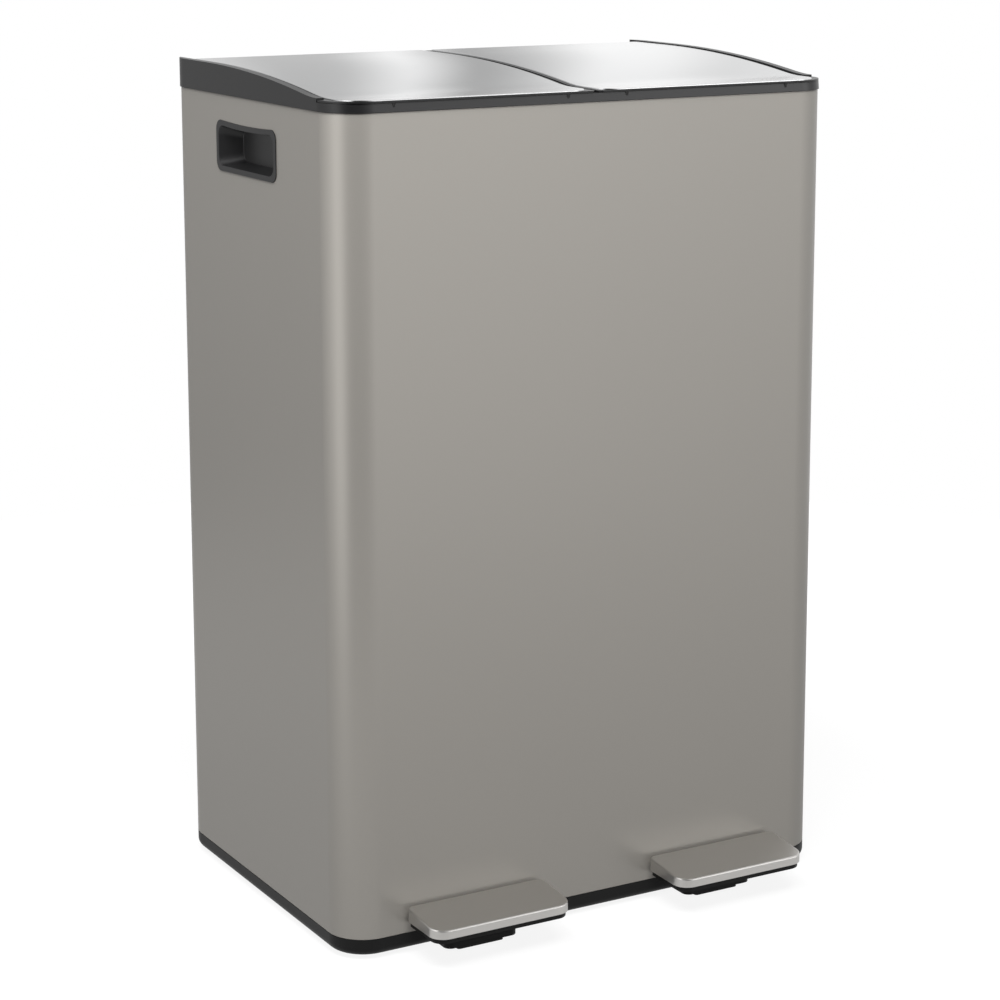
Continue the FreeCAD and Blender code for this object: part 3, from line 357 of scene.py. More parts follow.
SLOT_FINISHES: dict[str, Finish] = {
    "powder_coat": POWDER_COAT,
    "rim_plastic": RIM_PLASTIC,
    "black_plastic": BASE_PLASTIC,
    "bucket_plastic": BUCKET_PLASTIC,
    "natural_plastic": NATURAL_PLASTIC,
    "damper_tube": DAMPER_PLASTIC,
    "satin_steel": LID_STEEL,
    "pedal_steel": PEDAL_STEEL,
    "zinc_steel": ZINC,
    "zinc_sheet": ZINC,
    "black_rubber": RUBBER,
}


# ---------- mesh work


def cad_slot(node: str) -> str:
    """The record's material slot of a CAD node."""
    for row in frame["record"]["subparts"]:
        if row["node"] == node:
            return row["material_slot"]
    raise KeyError(node)


def in_scene(name: str, data: bpy.types.ID) -> bpy.types.Object:
    """A new object of a mesh, lamp or camera, linked to the scene."""
    made = bpy.data.objects.new(name, data)
    bpy.context.scene.collection.objects.link(made)
    return made


@contextmanager
def reworked(mesh: Mesh, source: Mesh | None = None) -> Iterator[bmesh.types.BMesh]:
    """Opens a mesh for editing and writes it back at the end.

    Args:
        mesh: the mesh that is written.
        source: the mesh to start from, or None to start from the mesh itself.

    Yields:
        The editable mesh.
    """
    work = bmesh.new()
    work.from_mesh(source or mesh)
    yield work
    work.to_mesh(mesh)
    work.free()


def shade_by_angle(mesh: Mesh, degrees: float) -> None:
    """Smooth shading with sharp edges where two faces meet at more than an angle.

    Args:
        mesh: the mesh to shade.
        degrees: the angle.
    """
    limit = math.radians(degrees)
    with reworked(mesh) as work:
        for face in work.faces:
            face.smooth = True
        for edge in work.edges:
            edge.smooth = len(edge.link_faces) == 2 and edge.calc_face_angle(0.0) < limit


def baked(source: bpy.types.Object) -> Mesh:
    """Applies an object's modifiers and removes the object.

    Args:
        source: the object.

    Returns:
        The finished mesh.
    """
    graph = bpy.context.evaluated_depsgraph_get()
    graph.update()
    mesh = bpy.data.meshes.new_from_object(source.evaluated_get(graph), depsgraph=graph)
    bpy.data.objects.remove(source)
    return mesh


def even_normals(mesh: Mesh, degrees: float = SHARP_ANGLE) -> Mesh:
    """Sharp edges by angle, and normals that follow the large faces, so that flat walls stay flat.

    Args:
        mesh: the mesh to shade.
        degrees: the angle from which an edge is sharp.

    Returns:
        The shaded mesh.
    """
    shade_by_angle(mesh, degrees)
    holder = in_scene("holder", mesh)
    weighted = holder.modifiers.new("normals", "WEIGHTED_NORMAL")
    weighted.mode = "FACE_AREA"
    weighted.keep_sharp = True
    return baked(holder)


# ---------- shapes that follow a rule


@dataclass(frozen=True)
class ShapeRule:
    """A Geometry Nodes tree with named inputs that turns a starting mesh into a piece."""

    name: str
    inputs: tuple[tuple[str, str], ...]

    def tree(self) -> bpy.types.NodeTree:
        """The rule's tree, made at its first use; it ends in Realize Instances and Set Material."""
        found = bpy.data.node_groups.get(self.name)
        if found is not None:
            return found
        made = bpy.data.node_groups.new(self.name, "GeometryNodeTree")
        made.interface.new_socket(name="Geometry", in_out="INPUT", socket_type="NodeSocketGeometry")
        for name, kind in (*self.inputs, ("Finish", "NodeSocketMaterial")):
            made.interface.new_socket(name=name, in_out="INPUT", socket_type=kind)
        made.interface.new_socket(name="Geometry", in_out="OUTPUT", socket_type="NodeSocketGeometry")
        bench = NodeBench(made)
        given = bench.add("NodeGroupInput").outputs
        real = bench.add("GeometryNodeRealizeInstances", {0: self.fill(bench, given)})
        dress = {"Geometry": real.outputs[0], "Material": given["Finish"]}
        dressed = bench.add("GeometryNodeSetMaterial", dress)
        bench.add("NodeGroupOutput", {0: dressed.outputs[0]})
        return made

    def fill(self, bench: NodeBench, given: Sockets) -> Socket:
        """Builds the rule's own nodes and returns the socket with the shape."""
        raise NotImplementedError

    @staticmethod
    def moved(bench: NodeBench, shape: Socket, place: Socket) -> Socket:
        """The shape moved to a place."""
        return bench.add("GeometryNodeTransform", {"Geometry": shape, "Translation": place}).outputs[0]

    @staticmethod
    def boolean(bench: NodeBench, operation: str, inputs: Inputs | None = None) -> Node:
        """A node that joins or cuts solids exactly."""
        return bench.add("GeometryNodeMeshBoolean", inputs, operation=operation, solver="EXACT")

    def run(self, start: Mesh, finish: Finish, values: dict[str, object]) -> Mesh:
        """Runs the rule.

        Args:
            start: the starting mesh.
            finish: the finish that Set Material gives.
            values: the inputs' values by name.

        Returns:
            The plain mesh.
        """
        holder = in_scene("holder", start)
        modifier = holder.modifiers.new(self.name, "NODES")
        modifier.node_group = self.tree()
        given = {**values, "Finish": finish.material()}
        for item in modifier.node_group.interface.items_tree:
            if item.in_out == "INPUT" and item.name in given:
                modifier[item.identifier] = given[item.name]
        return baked(holder)


class WrappedSheet(ShapeRule):
    """Sheet wall with folded hems, its section swept round a rounded rectangle, with openings cut."""

    plan_steps: ClassVar[int] = 16
    window_steps: ClassVar[int] = 10

    def fill(self, bench: NodeBench, given: Sockets) -> Socket:
        """Sweeps the section and cuts the handle openings and the lever notches."""
        plan = self._rounded(bench, given["Width"], given["Depth"], given["Corner"], self.plan_steps)
        section = bench.add("GeometryNodeMeshToCurve", {"Mesh": given["Geometry"]}).outputs[0]
        wall = bench.add("GeometryNodeCurveToMesh", {"Curve": plan, "Profile Curve": section})
        window = self._rounded(
            bench, given["Window Length"], given["Window Height"], given["Window Corner"], self.window_steps
        )
        ends = {"Start": (-1.0, 0.0, 0.0), "End": (1.0, 0.0, 0.0)}
        through = bench.add("GeometryNodeCurvePrimitiveLine", ends)
        window_tool = bench.add("GeometryNodeCurveToMesh", {
            "Curve": through.outputs[0], "Profile Curve": window, "Fill Caps": True,
        })
        notch_tool = bench.add("GeometryNodeMeshCube", {"Size": given["Notch Size"]})
        cut = self.boolean(bench, "DIFFERENCE", {"Mesh 1": wall.outputs[0]})
        tools = ((window_tool, "Window Place"), (notch_tool, "Left Notch"), (notch_tool, "Right Notch"))
        for tool, place in tools:
            bench.join(self.moved(bench, tool.outputs[0], given[place]), cut.inputs["Mesh 2"])
        return cut.outputs["Mesh"]

    @staticmethod
    def _rounded(bench: NodeBench, width: Socket, height: Socket, corner: Socket, steps: int) -> Socket:
        """A rounded rectangle as a curve.

        Args:
            bench: the tree's bench.
            width: its width.
            height: its height.
            corner: its corner radius.
            steps: the steps in each corner.

        Returns:
            The curve's socket.
        """
        outline = bench.add("GeometryNodeCurvePrimitiveQuadrilateral", {"Width": width, "Height": height})
        rounding = {"Curve": outline.outputs[0], "Radius": corner, "Count": steps}
        return bench.add("GeometryNodeFilletCurve", rounding, mode="POLY").outputs[0]


class PanScrews(ShapeRule):
    """One pan-head screw with a cross recess, set on every vertex of the starting mesh, head down."""

    sides: ClassVar[int] = 24
    crown_share: ClassVar[float] = 0.4
    crown_narrowing: ClassVar[float] = 0.72
    shaft_rise: ClassVar[float] = 0.499

    def fill(self, bench: NodeBench, given: Sockets) -> Socket:
        """Builds the screw once and places it."""
        crown_depth = bench.math("MULTIPLY", given["Head Height"], self.crown_share)
        band_depth = bench.math("SUBTRACT", given["Head Height"], crown_depth)
        crown_end = bench.math("MULTIPLY", given["Head Radius"], self.crown_narrowing)
        crown = bench.add("GeometryNodeMeshCone", {
            "Vertices": self.sides, "Radius Top": given["Head Radius"], "Radius Bottom": crown_end,
            "Depth": crown_depth,
        }, fill_type="NGON")
        band = self._cylinder(bench, given["Head Radius"], band_depth)
        shaft = self._cylinder(bench, given["Shaft Radius"], given["Shaft Length"])
        below = bench.math("MULTIPLY", given["Head Height"], -1.0)
        parts = (
            self._raised(bench, crown.outputs["Mesh"], below),
            self._raised(bench, band, bench.math("MULTIPLY", band_depth, -0.5)),
            self._raised(bench, shaft, bench.math("MULTIPLY", given["Shaft Length"], self.shaft_rise)),
        )
        whole = self.boolean(bench, "UNION")
        for part in parts:
            bench.join(part, whole.inputs["Mesh 2"])
        recess = self.boolean(bench, "DIFFERENCE", {"Mesh 1": whole.outputs["Mesh"]})
        long, narrow = given["Recess Length"], given["Recess Width"]
        for along_x, along_y in ((long, narrow), (narrow, long)):
            size = bench.add("ShaderNodeCombineXYZ", {"X": along_x, "Y": along_y, "Z": given["Head Height"]})
            blade = bench.add("GeometryNodeMeshCube", {"Size": size.outputs[0]})
            bench.join(self._raised(bench, blade.outputs["Mesh"], below), recess.inputs["Mesh 2"])
        screws = bench.add(
            "GeometryNodeInstanceOnPoints", {"Points": given["Geometry"], "Instance": recess.outputs["Mesh"]}
        )
        return screws.outputs[0]

    def _cylinder(self, bench: NodeBench, radius: Socket, depth: Socket) -> Socket:
        """A cylinder about Z, centred."""
        sizes = {"Vertices": self.sides, "Radius": radius, "Depth": depth}
        return bench.add("GeometryNodeMeshCylinder", sizes, fill_type="NGON").outputs["Mesh"]

    def _raised(self, bench: NodeBench, shape: Socket, height: Socket) -> Socket:
        """The shape moved along Z."""
        return self.moved(bench, shape, bench.add("ShaderNodeCombineXYZ", {"Z": height}).outputs[0])


WRAPPED_SHEET = WrappedSheet(
    "wrapped_sheet",
    (
        ("Width", "NodeSocketFloat"), ("Depth", "NodeSocketFloat"), ("Corner", "NodeSocketFloat"),
        ("Window Length", "NodeSocketFloat"), ("Window Height", "NodeSocketFloat"),
        ("Window Corner", "NodeSocketFloat"), ("Window Place", "NodeSocketVector"),
        ("Notch Size", "NodeSocketVector"), ("Left Notch", "NodeSocketVector"),
        ("Right Notch", "NodeSocketVector"),
    ),
)
PAN_SCREWS = PanScrews(
    "pan_screws",
    (
        ("Head Radius", "NodeSocketFloat"), ("Head Height", "NodeSocketFloat"),
        ("Shaft Radius", "NodeSocketFloat"), ("Shaft Length", "NodeSocketFloat"),
        ("Recess Length", "NodeSocketFloat"), ("Recess Width", "NodeSocketFloat"),
    ),
)


@dataclass(frozen=True)
class PlanShape:
    """Rounded rectangle in plan, with its own radius at each corner."""

    x0: float
    x1: float
    y0: float
    y1: float
    corners: tuple[float, float, float, float]
    corner_steps: int = 12
    side_steps: int = 24
    columns: int = 16
    least_radius: float = 0.0002

    def rows(self, inset: float) -> list[list[Point2]]:
        """Rows of points across the shape from its front to its rear, drawn in by inset.

        Args:
            inset: how far the outline is drawn in.

        Returns:
            Rows that start on the left side and end on the right side.
        """
        x0, x1 = self.x0 + inset, self.x1 - inset
        y0, y1 = self.y0 + inset, self.y1 - inset
        radii = [max(radius - inset, self.least_radius) for radius in self.corners]
        left_front, right_front, right_rear, left_rear = radii
        left = self._chain(x0, y0, y1, left_front, left_rear, 1)
        right = self._chain(x1, y0, y1, right_front, right_rear, -1)
        shares = [index / self.columns for index in range(self.columns + 1)]
        return [
            [(xa + (xb - xa) * t, ya + (yb - ya) * t) for t in shares]
            for (xa, ya), (xb, yb) in zip(left, right)
        ]

    def _chain(self, x: float, y0: float, y1: float, front: float, rear: float, inward: int) -> list[Point2]:
        """Points along one side, from the end of the front edge to the start of the rear edge.

        Args:
            x: the side's place.
            y0: the front edge's place.
            y1: the rear edge's place.
            front: radius of the front corner.
            rear: radius of the rear corner.
            inward: sign of the direction towards the middle.

        Returns:
            The points.
        """
        angles = [math.pi / 2 * step / self.corner_steps for step in range(self.corner_steps + 1)]
        points = [(x + inward * front * (1 - math.sin(a)), y0 + front * (1 - math.cos(a))) for a in angles]
        run = y1 - rear - y0 - front
        points += [(x, y0 + front + run * step / self.side_steps) for step in range(1, self.side_steps)]
        points += [(x + inward * rear * (1 - math.cos(a)), y1 - rear * (1 - math.sin(a))) for a in angles]
        return points

    def edge_loop(self, rows: list[list[object]]) -> list[object]:
        """The rows' outer points in order round the shape."""
        right = [row[-1] for row in rows[1:-1]]
        left = [row[0] for row in rows[1:-1]]
        return [*rows[0], *right, *reversed(rows[-1]), *reversed(left)]


@dataclass(frozen=True)
class RolledSheet:
    """Thin sheet over a plan shape, its edge rolled down; the top follows a height rule."""

    plan: PlanShape
    top: Callable[[float, float], float]
    edge_radius: float
    skirt: Callable[[float, float], float]
    wall: float
    edge_steps: int = 5
    weld: float = 1e-7

    def mesh(self) -> Mesh:
        """Builds the closed sheet: top, rolled edge, skirt, and the underside one wall in."""
        mesh = bpy.data.meshes.new("rolled_sheet")
        radius = self.edge_radius
        with reworked(mesh) as work:
            rings = [self.plan.edge_loop(self._grid(work, radius, 0.0, False))]
            for step in range(1, self.edge_steps + 1):
                angle = math.pi / 2 * step / self.edge_steps
                drop = radius * (1 - math.cos(angle))
                loop = self.plan.edge_loop(self.plan.rows(radius * (1 - math.sin(angle))))
                rings.append([work.verts.new((x, y, self.top(x, y) - drop)) for x, y in loop])
            for inset in (0.0, self.wall):
                loop = self.plan.edge_loop(self.plan.rows(inset))
                rings.append([work.verts.new((x, y, self.skirt(x, y))) for x, y in loop])
            rings.append(self.plan.edge_loop(self._grid(work, self.wall, self.wall, True)))
            for upper, lower in zip(rings, rings[1:]):
                count = len(upper)
                for index in range(count):
                    after = (index + 1) % count
                    work.faces.new((upper[index], lower[index], lower[after], upper[after]))
            bmesh.ops.remove_doubles(work, verts=work.verts, dist=self.weld)
            bmesh.ops.recalc_face_normals(work, faces=work.faces)
        return mesh

    def _grid(self, work: bmesh.types.BMesh, inset: float, drop: float, turned: bool) -> list[list[object]]:
        """One face grid over the plan.

        Args:
            work: the mesh being built.
            inset: how far the grid is drawn in from the outline.
            drop: how far it lies below the top rule.
            turned: whether its faces look down.

        Returns:
            Its rows of vertices.
        """
        rows = [
            [work.verts.new((x, y, self.top(x, y) - drop)) for x, y in row] for row in self.plan.rows(inset)
        ]
        for near, far in zip(rows, rows[1:]):
            for index in range(len(near) - 1):
                corners = (near[index], near[index + 1], far[index + 1], far[index])
                work.faces.new(tuple(reversed(corners)) if turned else corners)
        return rows


def softened(
    node: str, width: float, shift: Callable[[Vector], Vector] | None = None, cuts: Sequence[float] = ()
) -> bpy.types.Object:
    """A copy of a CAD node with its edges rounded.

    Args:
        node: the CAD node.
        width: the rounding's width.
        shift: how far each point is moved, or None.
        cuts: places along Y where the faces are divided first, so that they can bend.

    Returns:
        The new piece, which stands for the node and rides on its body.
    """
    mesh = bpy.data.meshes.new(node + "_soft")
    with reworked(mesh, frame["nodes"][node].data) as work:
        bmesh.ops.remove_doubles(work, verts=work.verts, dist=WELD_DISTANCE)
        bmesh.ops.dissolve_limit(
            work, angle_limit=math.radians(FLAT_ANGLE), verts=work.verts, edges=work.edges,
            use_dissolve_boundaries=False,
        )
        for y in cuts:
            whole = [*work.verts, *work.edges, *work.faces]
            bmesh.ops.bisect_plane(
                work, geom=whole, dist=WELD_DISTANCE, plane_co=(0.0, y, 0.0), plane_no=(0.0, 1.0, 0.0)
            )
        if shift:
            for vertex in work.verts:
                vertex.co += shift(vertex.co)
    holder = in_scene("holder", mesh)
    bevel = holder.modifiers.new("edges", "BEVEL")
    bevel.width = width
    bevel.segments = BEVEL_SEGMENTS
    bevel.limit_method = "ANGLE"
    bevel.angle_limit = math.radians(BEVEL_ANGLE)
    return stand_for(node, even_normals(baked(holder)))


def stand_for(node: str, mesh: Mesh) -> bpy.types.Object:
    """Makes a piece of a mesh that stands for a CAD node, with the finish of its slot, and rides on its body.

    Args:
        node: the CAD node that it stands for.
        mesh: the piece's mesh.

    Returns:
        The piece.
    """
    slot = cad_slot(node)
    mesh.materials.clear()
    mesh.materials.append(SLOT_FINISHES[slot].material())
    piece = in_scene(node + "_piece", mesh)
    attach(piece, frame["nodes"][node]["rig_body"])
    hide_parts(node)
    LOG.info("piece %s stands for %s, %d faces", piece.name, node, len(mesh.polygons))
    return piece


# ---------- sub-assemblies


@dataclass(frozen=True)
class Dome:
    """Profile of the lids from front to rear: a flat lip, a short hollow bend, one long arc, a flat crest."""

    crest_z: float = 0.6585
    lip_z: float = 0.6453
    crest_y: float = 0.075
    bend_y: float = -0.1
    lip_y: float = -0.122
    solid_lip_y: float = -0.116
    bend_cuts: int = 4
    arc_cuts: int = 14

    def height(self, y: float) -> float:
        """Height of the dome at y."""
        return self._profile(y, self.lip_y, self.bend_y)

    def lift(self, y: float) -> float:
        """How far the dome lies above the solid's evenly divided profile at y."""
        even_bend = (self.crest_y + self.solid_lip_y) / 2
        return self.height(y) - self._profile(y, self.solid_lip_y, even_bend)

    def cuts(self) -> list[float]:
        """Places along Y where faces are divided to follow the profile."""
        bend, arc = self.bend_y - self.lip_y, self.crest_y - self.bend_y
        bend_places = [self.lip_y + bend * step / self.bend_cuts for step in range(self.bend_cuts + 1)]
        arc_places = [self.bend_y + arc * step / self.arc_cuts for step in range(1, self.arc_cuts + 1)]
        return bend_places + arc_places

    def _profile(self, y: float, lip_y: float, bend_y: float) -> float:
        """Height of two tangent arcs between the lip and the crest.

        Args:
            y: where the height is asked for.
            lip_y: where the lip ends.
            bend_y: where the two arcs meet.

        Returns:
            The height.
        """
        if y >= self.crest_y:
            return self.crest_z
        if y <= lip_y:
            return self.lip_z
        run = self.crest_y - lip_y
        slope = 2 * math.atan((self.crest_z - self.lip_z) / run)
        upper = (self.crest_y - bend_y) / math.sin(slope)
        lower = (bend_y - lip_y) / math.sin(slope)
        if y >= bend_y:
            return self.crest_z - upper + math.sqrt(upper**2 - (self.crest_y - y) ** 2)
        return self.lip_z + lower - math.sqrt(lower**2 - (y - lip_y) ** 2)


DOME = Dome()


@dataclass
class Casing:
    """The wrapped steel casing: folded hems at top and bottom, handle openings and lever notches."""

    width: float = 0.432
    depth: float = 0.302
    corner: float = 0.03
    bottom: float = 0.0165
    top: float = 0.6365
    sheet: float = 0.0007
    hem: float = 0.012
    window: Point3 = (0.104, 0.035, 0.008)
    window_place: Point3 = (0.0, 0.004, 0.597)
    notch: Point3 = (0.04, 0.01, 0.028)
    notch_x: float = 0.108
    fold_steps: int = 6
    seam_width: float = 0.012
    sharp_angle: float = 35.0

    def build(self) -> None:
        """Builds the casing by its rule and puts the seam strip inside its rear wall."""
        length, height, corner = self.window
        notch_y = -self.depth / 2
        mesh = WRAPPED_SHEET.run(self._section(), POWDER_COAT, {
            "Width": self.width, "Depth": self.depth, "Corner": self.corner,
            "Window Length": length, "Window Height": height, "Window Corner": corner,
            "Window Place": self.window_place, "Notch Size": self.notch,
            "Left Notch": (-self.notch_x, notch_y, self.bottom),
            "Right Notch": (self.notch_x, notch_y, self.bottom),
        })
        self._add_seam(mesh)
        stand_for("body_shell", even_normals(mesh, self.sharp_angle))

    def _section(self) -> Mesh:
        """The wall's closed section: X is 0 at the outer face, and Y is the height turned over."""
        fold = self.sheet
        points: list[Point2] = []
        for end, outward in ((self.top, 1), (self.bottom, -1)):
            arc = []
            for step in range(self.fold_steps + 1):
                angle = math.pi * step / self.fold_steps
                arc.append((-fold + fold * math.cos(angle), end - outward * fold * (1 - math.sin(angle))))
            step_in = [(-2 * fold, end - outward * self.hem), (-fold, end - outward * self.hem)]
            points += (arc + step_in) if outward > 0 else list(reversed(arc + step_in))
        mesh = bpy.data.meshes.new("section")
        edges = [(index, (index + 1) % len(points)) for index in range(len(points))]
        mesh.from_pydata([(x, -z, 0.0) for x, z in points], edges, [])
        return mesh

    def _add_seam(self, mesh: Mesh) -> None:
        """Adds the lap strip of the wrap's seam, inside the rear wall between the hems."""
        low, high = self.bottom + self.hem, self.top - self.hem
        with reworked(mesh) as work:
            for vertex in bmesh.ops.create_cube(work, size=1.0)["verts"]:
                vertex.co.x *= self.seam_width
                vertex.co.y = self.depth / 2 - self.sheet * 1.5 + vertex.co.y * self.sheet
                vertex.co.z = (low + high) / 2 + vertex.co.z * (high - low)
            bmesh.ops.recalc_face_normals(work, faces=work.faces)


@dataclass
class Fasteners:
    """Screws of the lids' brackets, the pedals and the rod guards."""

    head_radius: float = 0.0035
    head_height: float = 0.002
    shaft_radius: float = 0.00175
    recess_length: float = 0.0034
    recess_width: float = 0.0008
    nodes: tuple[str, ...] = (
        "crank_screws_left", "crank_screws_right", "pedal_screws_left", "pedal_screws_right", "guard_screws",
    )

    def build(self) -> None:
        """Sets a screw at each of the nodes' screws."""
        for node in self.nodes:
            places, length = self._places(node)
            start = bpy.data.meshes.new("places")
            start.from_pydata(places, [], [])
            mesh = PAN_SCREWS.run(start, ZINC, {
                "Head Radius": self.head_radius, "Head Height": self.head_height,
                "Shaft Radius": self.shaft_radius, "Shaft Length": length,
                "Recess Length": self.recess_length, "Recess Width": self.recess_width,
            })
            shade_by_angle(mesh, SHARP_ANGLE)
            stand_for(node, mesh)

    def _places(self, node: str) -> tuple[list[Point3], float]:
        """Where a node's screws have their seats, and their length above the seat.

        Args:
            node: the CAD node.

        Returns:
            The places and the length.
        """
        work = bmesh.new()
        work.from_mesh(frame["nodes"][node].data)
        bmesh.ops.remove_doubles(work, verts=work.verts, dist=WELD_DISTANCE)
        left = set(work.verts)
        places = []
        length = 0.0
        while left:
            group = [left.pop()]
            for vertex in group:
                near = {edge.other_vert(vertex) for edge in vertex.link_edges} & left
                left -= near
                group.extend(near)
            low = Vector(tuple(min(vertex.co[axis] for vertex in group) for axis in range(3)))
            high = Vector(tuple(max(vertex.co[axis] for vertex in group) for axis in range(3)))
            middle = (low + high) / 2
            places.append((middle.x, middle.y, low.z + self.head_height))
            length = high.z - low.z - self.head_height
        work.free()
        return sorted(places), length


@dataclass
class Lids:
    """The two domed lids: steel skins with rolled edges over softened liners."""

    sheet: float = 0.0008
    edge: float = 0.0006
    outer_corner: float = 0.023
    inner_corner: float = 0.015
    rear_corner: float = 0.003
    liner_edge: float = 0.0005

    def build(self) -> None:
        """Builds both lids."""
        for side in Side:
            self._skin(side)
            softened(
                f"lid_liner_{side.suffix}", self.liner_edge,
                lambda point: Vector((0.0, 0.0, DOME.lift(point.y))), DOME.cuts(),
            )

    def _skin(self, side: Side) -> None:
        """Builds one lid's steel skin over the plan of its solid."""
        node = f"lid_skin_{side.suffix}"
        low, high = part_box(node)

        def dome(_x: float, y: float) -> float:
            """Height of the skin's top."""
            return DOME.height(y)

        inner, outer = self.inner_corner, self.outer_corner
        front = (inner, outer) if side is Side.RIGHT else (outer, inner)
        plan = PlanShape(low.x, high.x, low.y, high.y, (*front, self.rear_corner, self.rear_corner))
        sheet = RolledSheet(plan, dome, self.edge, lambda x, y: dome(x, y) - self.sheet, self.sheet / 2)
        stand_for(node, even_normals(sheet.mesh()))


@dataclass
class Pedals:
    """The two pedals: steel caps with rolled edges over moulded bodies."""

    front_corner: float = 0.012
    rear_corner: float = 0.005
    wall: float = 0.0012
    edge: float = 0.0012
    body_edge: float = 0.0005
    front_thickness: float = 0.0068
    rear_thickness: float = 0.0105
    bottom: float = 0.028
    front_y: float = -0.202
    rear_y: float = -0.1535
    half_width: float = 0.059
    centre_x: float = 0.108
    side_steps: int = 6
    pivot: tuple[float, float] = (-0.045, 0.020)
    droop: dict[Side, float] = field(default_factory=lambda: {Side.LEFT: 0.0, Side.RIGHT: 0.8})

    def build(self) -> None:
        """Builds both pedals."""
        for side in Side:
            self._cap(side)
            softened(f"pedal_underlay_{side.suffix}", self.body_edge)

    def _cap(self, side: Side) -> None:
        """Builds one pedal's steel cap, turned about its axle to its rest angle."""
        centre = side.value * self.centre_x
        corners = (self.front_corner, self.front_corner, self.rear_corner, self.rear_corner)
        plan = PlanShape(
            centre - self.half_width, centre + self.half_width, self.front_y, self.rear_y, corners,
            side_steps=self.side_steps,
        )
        slope = (self.rear_thickness - self.front_thickness) / (self.rear_y - self.front_y)

        def top(_x: float, y: float) -> float:
            """Height of the cap's top, which rises to the rear."""
            return self.bottom + self.front_thickness + slope * (y - self.front_y)

        mesh = RolledSheet(plan, top, self.edge, lambda _x, _y: self.bottom, self.wall).mesh()
        angle = math.radians(self.droop[side])
        pivot_y, pivot_z = self.pivot
        for vertex in mesh.vertices:
            y, z = vertex.co.y - pivot_y, vertex.co.z - pivot_z
            vertex.co.y = pivot_y + y * math.cos(angle) - z * math.sin(angle)
            vertex.co.z = pivot_z + y * math.sin(angle) + z * math.cos(angle)
        stand_for(f"pedal_cover_{side.suffix}", even_normals(mesh))


@dataclass
class Mouldings:
    """Rim, base and handle recesses, copied from the CAD pieces with their edges rounded."""

    rim_edge: float = 0.0005
    cheek_inside: float = 0.205
    band_top: float = 0.6428
    band_lean: float = 0.0014
    rim_corner: float = 0.031
    rim_half_width: float = 0.217
    rim_half_depth: float = 0.152
    outer_face: float = 0.001
    level_slack: float = 0.0002
    base_edge: float = 0.0006
    cup_edge: float = 0.0004

    def build(self) -> None:
        """Builds the mouldings."""
        softened("top_rim", self.rim_edge, self._rim_shift, DOME.cuts())
        softened("base_tray", self.base_edge)
        for side in Side:
            softened(f"handle_cup_{side.suffix}", self.cup_edge)

    def _rim_shift(self, point: Vector) -> Vector:
        """Raises the cheeks' top edges with the dome, and leans the front band's top edge back.

        Args:
            point: a point of the rim.

        Returns:
            How far the point moves.
        """
        if abs(point.x) > self.cheek_inside and point.z > self.band_top + self.level_slack:
            return Vector((0.0, 0.0, DOME.lift(point.y)))
        corner = self.rim_corner
        sideways = max(abs(point.x) - self.rim_half_width + corner, 0.0)
        forward = corner - self.rim_half_depth - point.y
        at_outer_face = math.hypot(sideways, forward) > corner - self.outer_face
        if forward > 0.0 and at_outer_face and abs(point.z - self.band_top) < self.level_slack:
            return Vector((0.0, self.band_lean * forward / corner, 0.0))
        return Vector()


class CarriedNodes:
    """CAD nodes that are shown as they are, with their finishes."""

    def build(self) -> None:
        """Gives every CAD node the material of its slot."""
        for name, node in frame["nodes"].items():
            finish = SLOT_FINISHES[cad_slot(name)]
            for slot in node.material_slots:
                slot.material = finish.material()
            LOG.info("node %s has finish %s", name, finish.name)


# ---------- floor, light, camera


@dataclass(frozen=True)
class Panel:
    """A rectangular soft light of the studio."""

    name: str
    place: Point3
    aim: Point3
    size: tuple[float, float]
    power: float

    def build(self) -> None:
        """Puts the light in the scene, unseen by the camera and in reflections."""
        lamp = bpy.data.lights.new(self.name, "AREA")
        lamp.shape = "RECTANGLE"
        lamp.size, lamp.size_y = self.size
        lamp.energy = self.power
        holder = in_scene(self.name, lamp)
        holder.location = self.place
        holder.rotation_euler = (Vector(self.aim) - Vector(self.place)).to_track_quat("-Z", "Y").to_euler()
        holder.visible_camera = False
        holder.visible_glossy = False


PANELS = (
    Panel("front_panel", (-0.5, -1.35, 2.1), (-0.1, -0.15, 0.6), (1.2, 0.8), 50.0),
    Panel("left_panel", (-1.1, -0.5, 2.0), (-0.2, -0.05, 0.7), (0.8, 0.8), 24.0),
    Panel("top_panel", (0.2, 0.5, 2.6), (0.0, 0.0, 0.6), (1.6, 1.2), 14.0),
)

# What polished surfaces see round them: level of the white surround by azimuth in degrees, from the
# rear (0) over the right (90) to behind the camera (-150).
SURROUND_LEVELS: tuple[Point2, ...] = (
    (-180.0, 0.2), (-170.0, 0.05), (-128.0, 0.0), (-118.0, 0.9), (-106.0, 2.0), (-92.0, 2.0),
    (-80.0, 1.2), (-55.0, 0.8), (-28.0, 0.52), (0.0, 0.5), (20.0, 0.78),
    (23.3, 0.76), (24.3, 0.43), (25.3, 0.58), (26.25, 0.9), (26.95, 1.2), (27.5, 0.74), (27.95, 0.38),
    (28.4, 0.4), (29.5, 0.66), (30.4, 0.8), (31.4, 1.35), (31.95, 1.35), (32.8, 0.74), (33.3, 0.76),
    (34.1, 0.92), (60.0, 1.0), (144.0, 0.75), (149.0, 1.3), (154.0, 1.55), (159.0, 1.2), (170.0, 0.4),
)
SURROUND_PEAK = 2.0


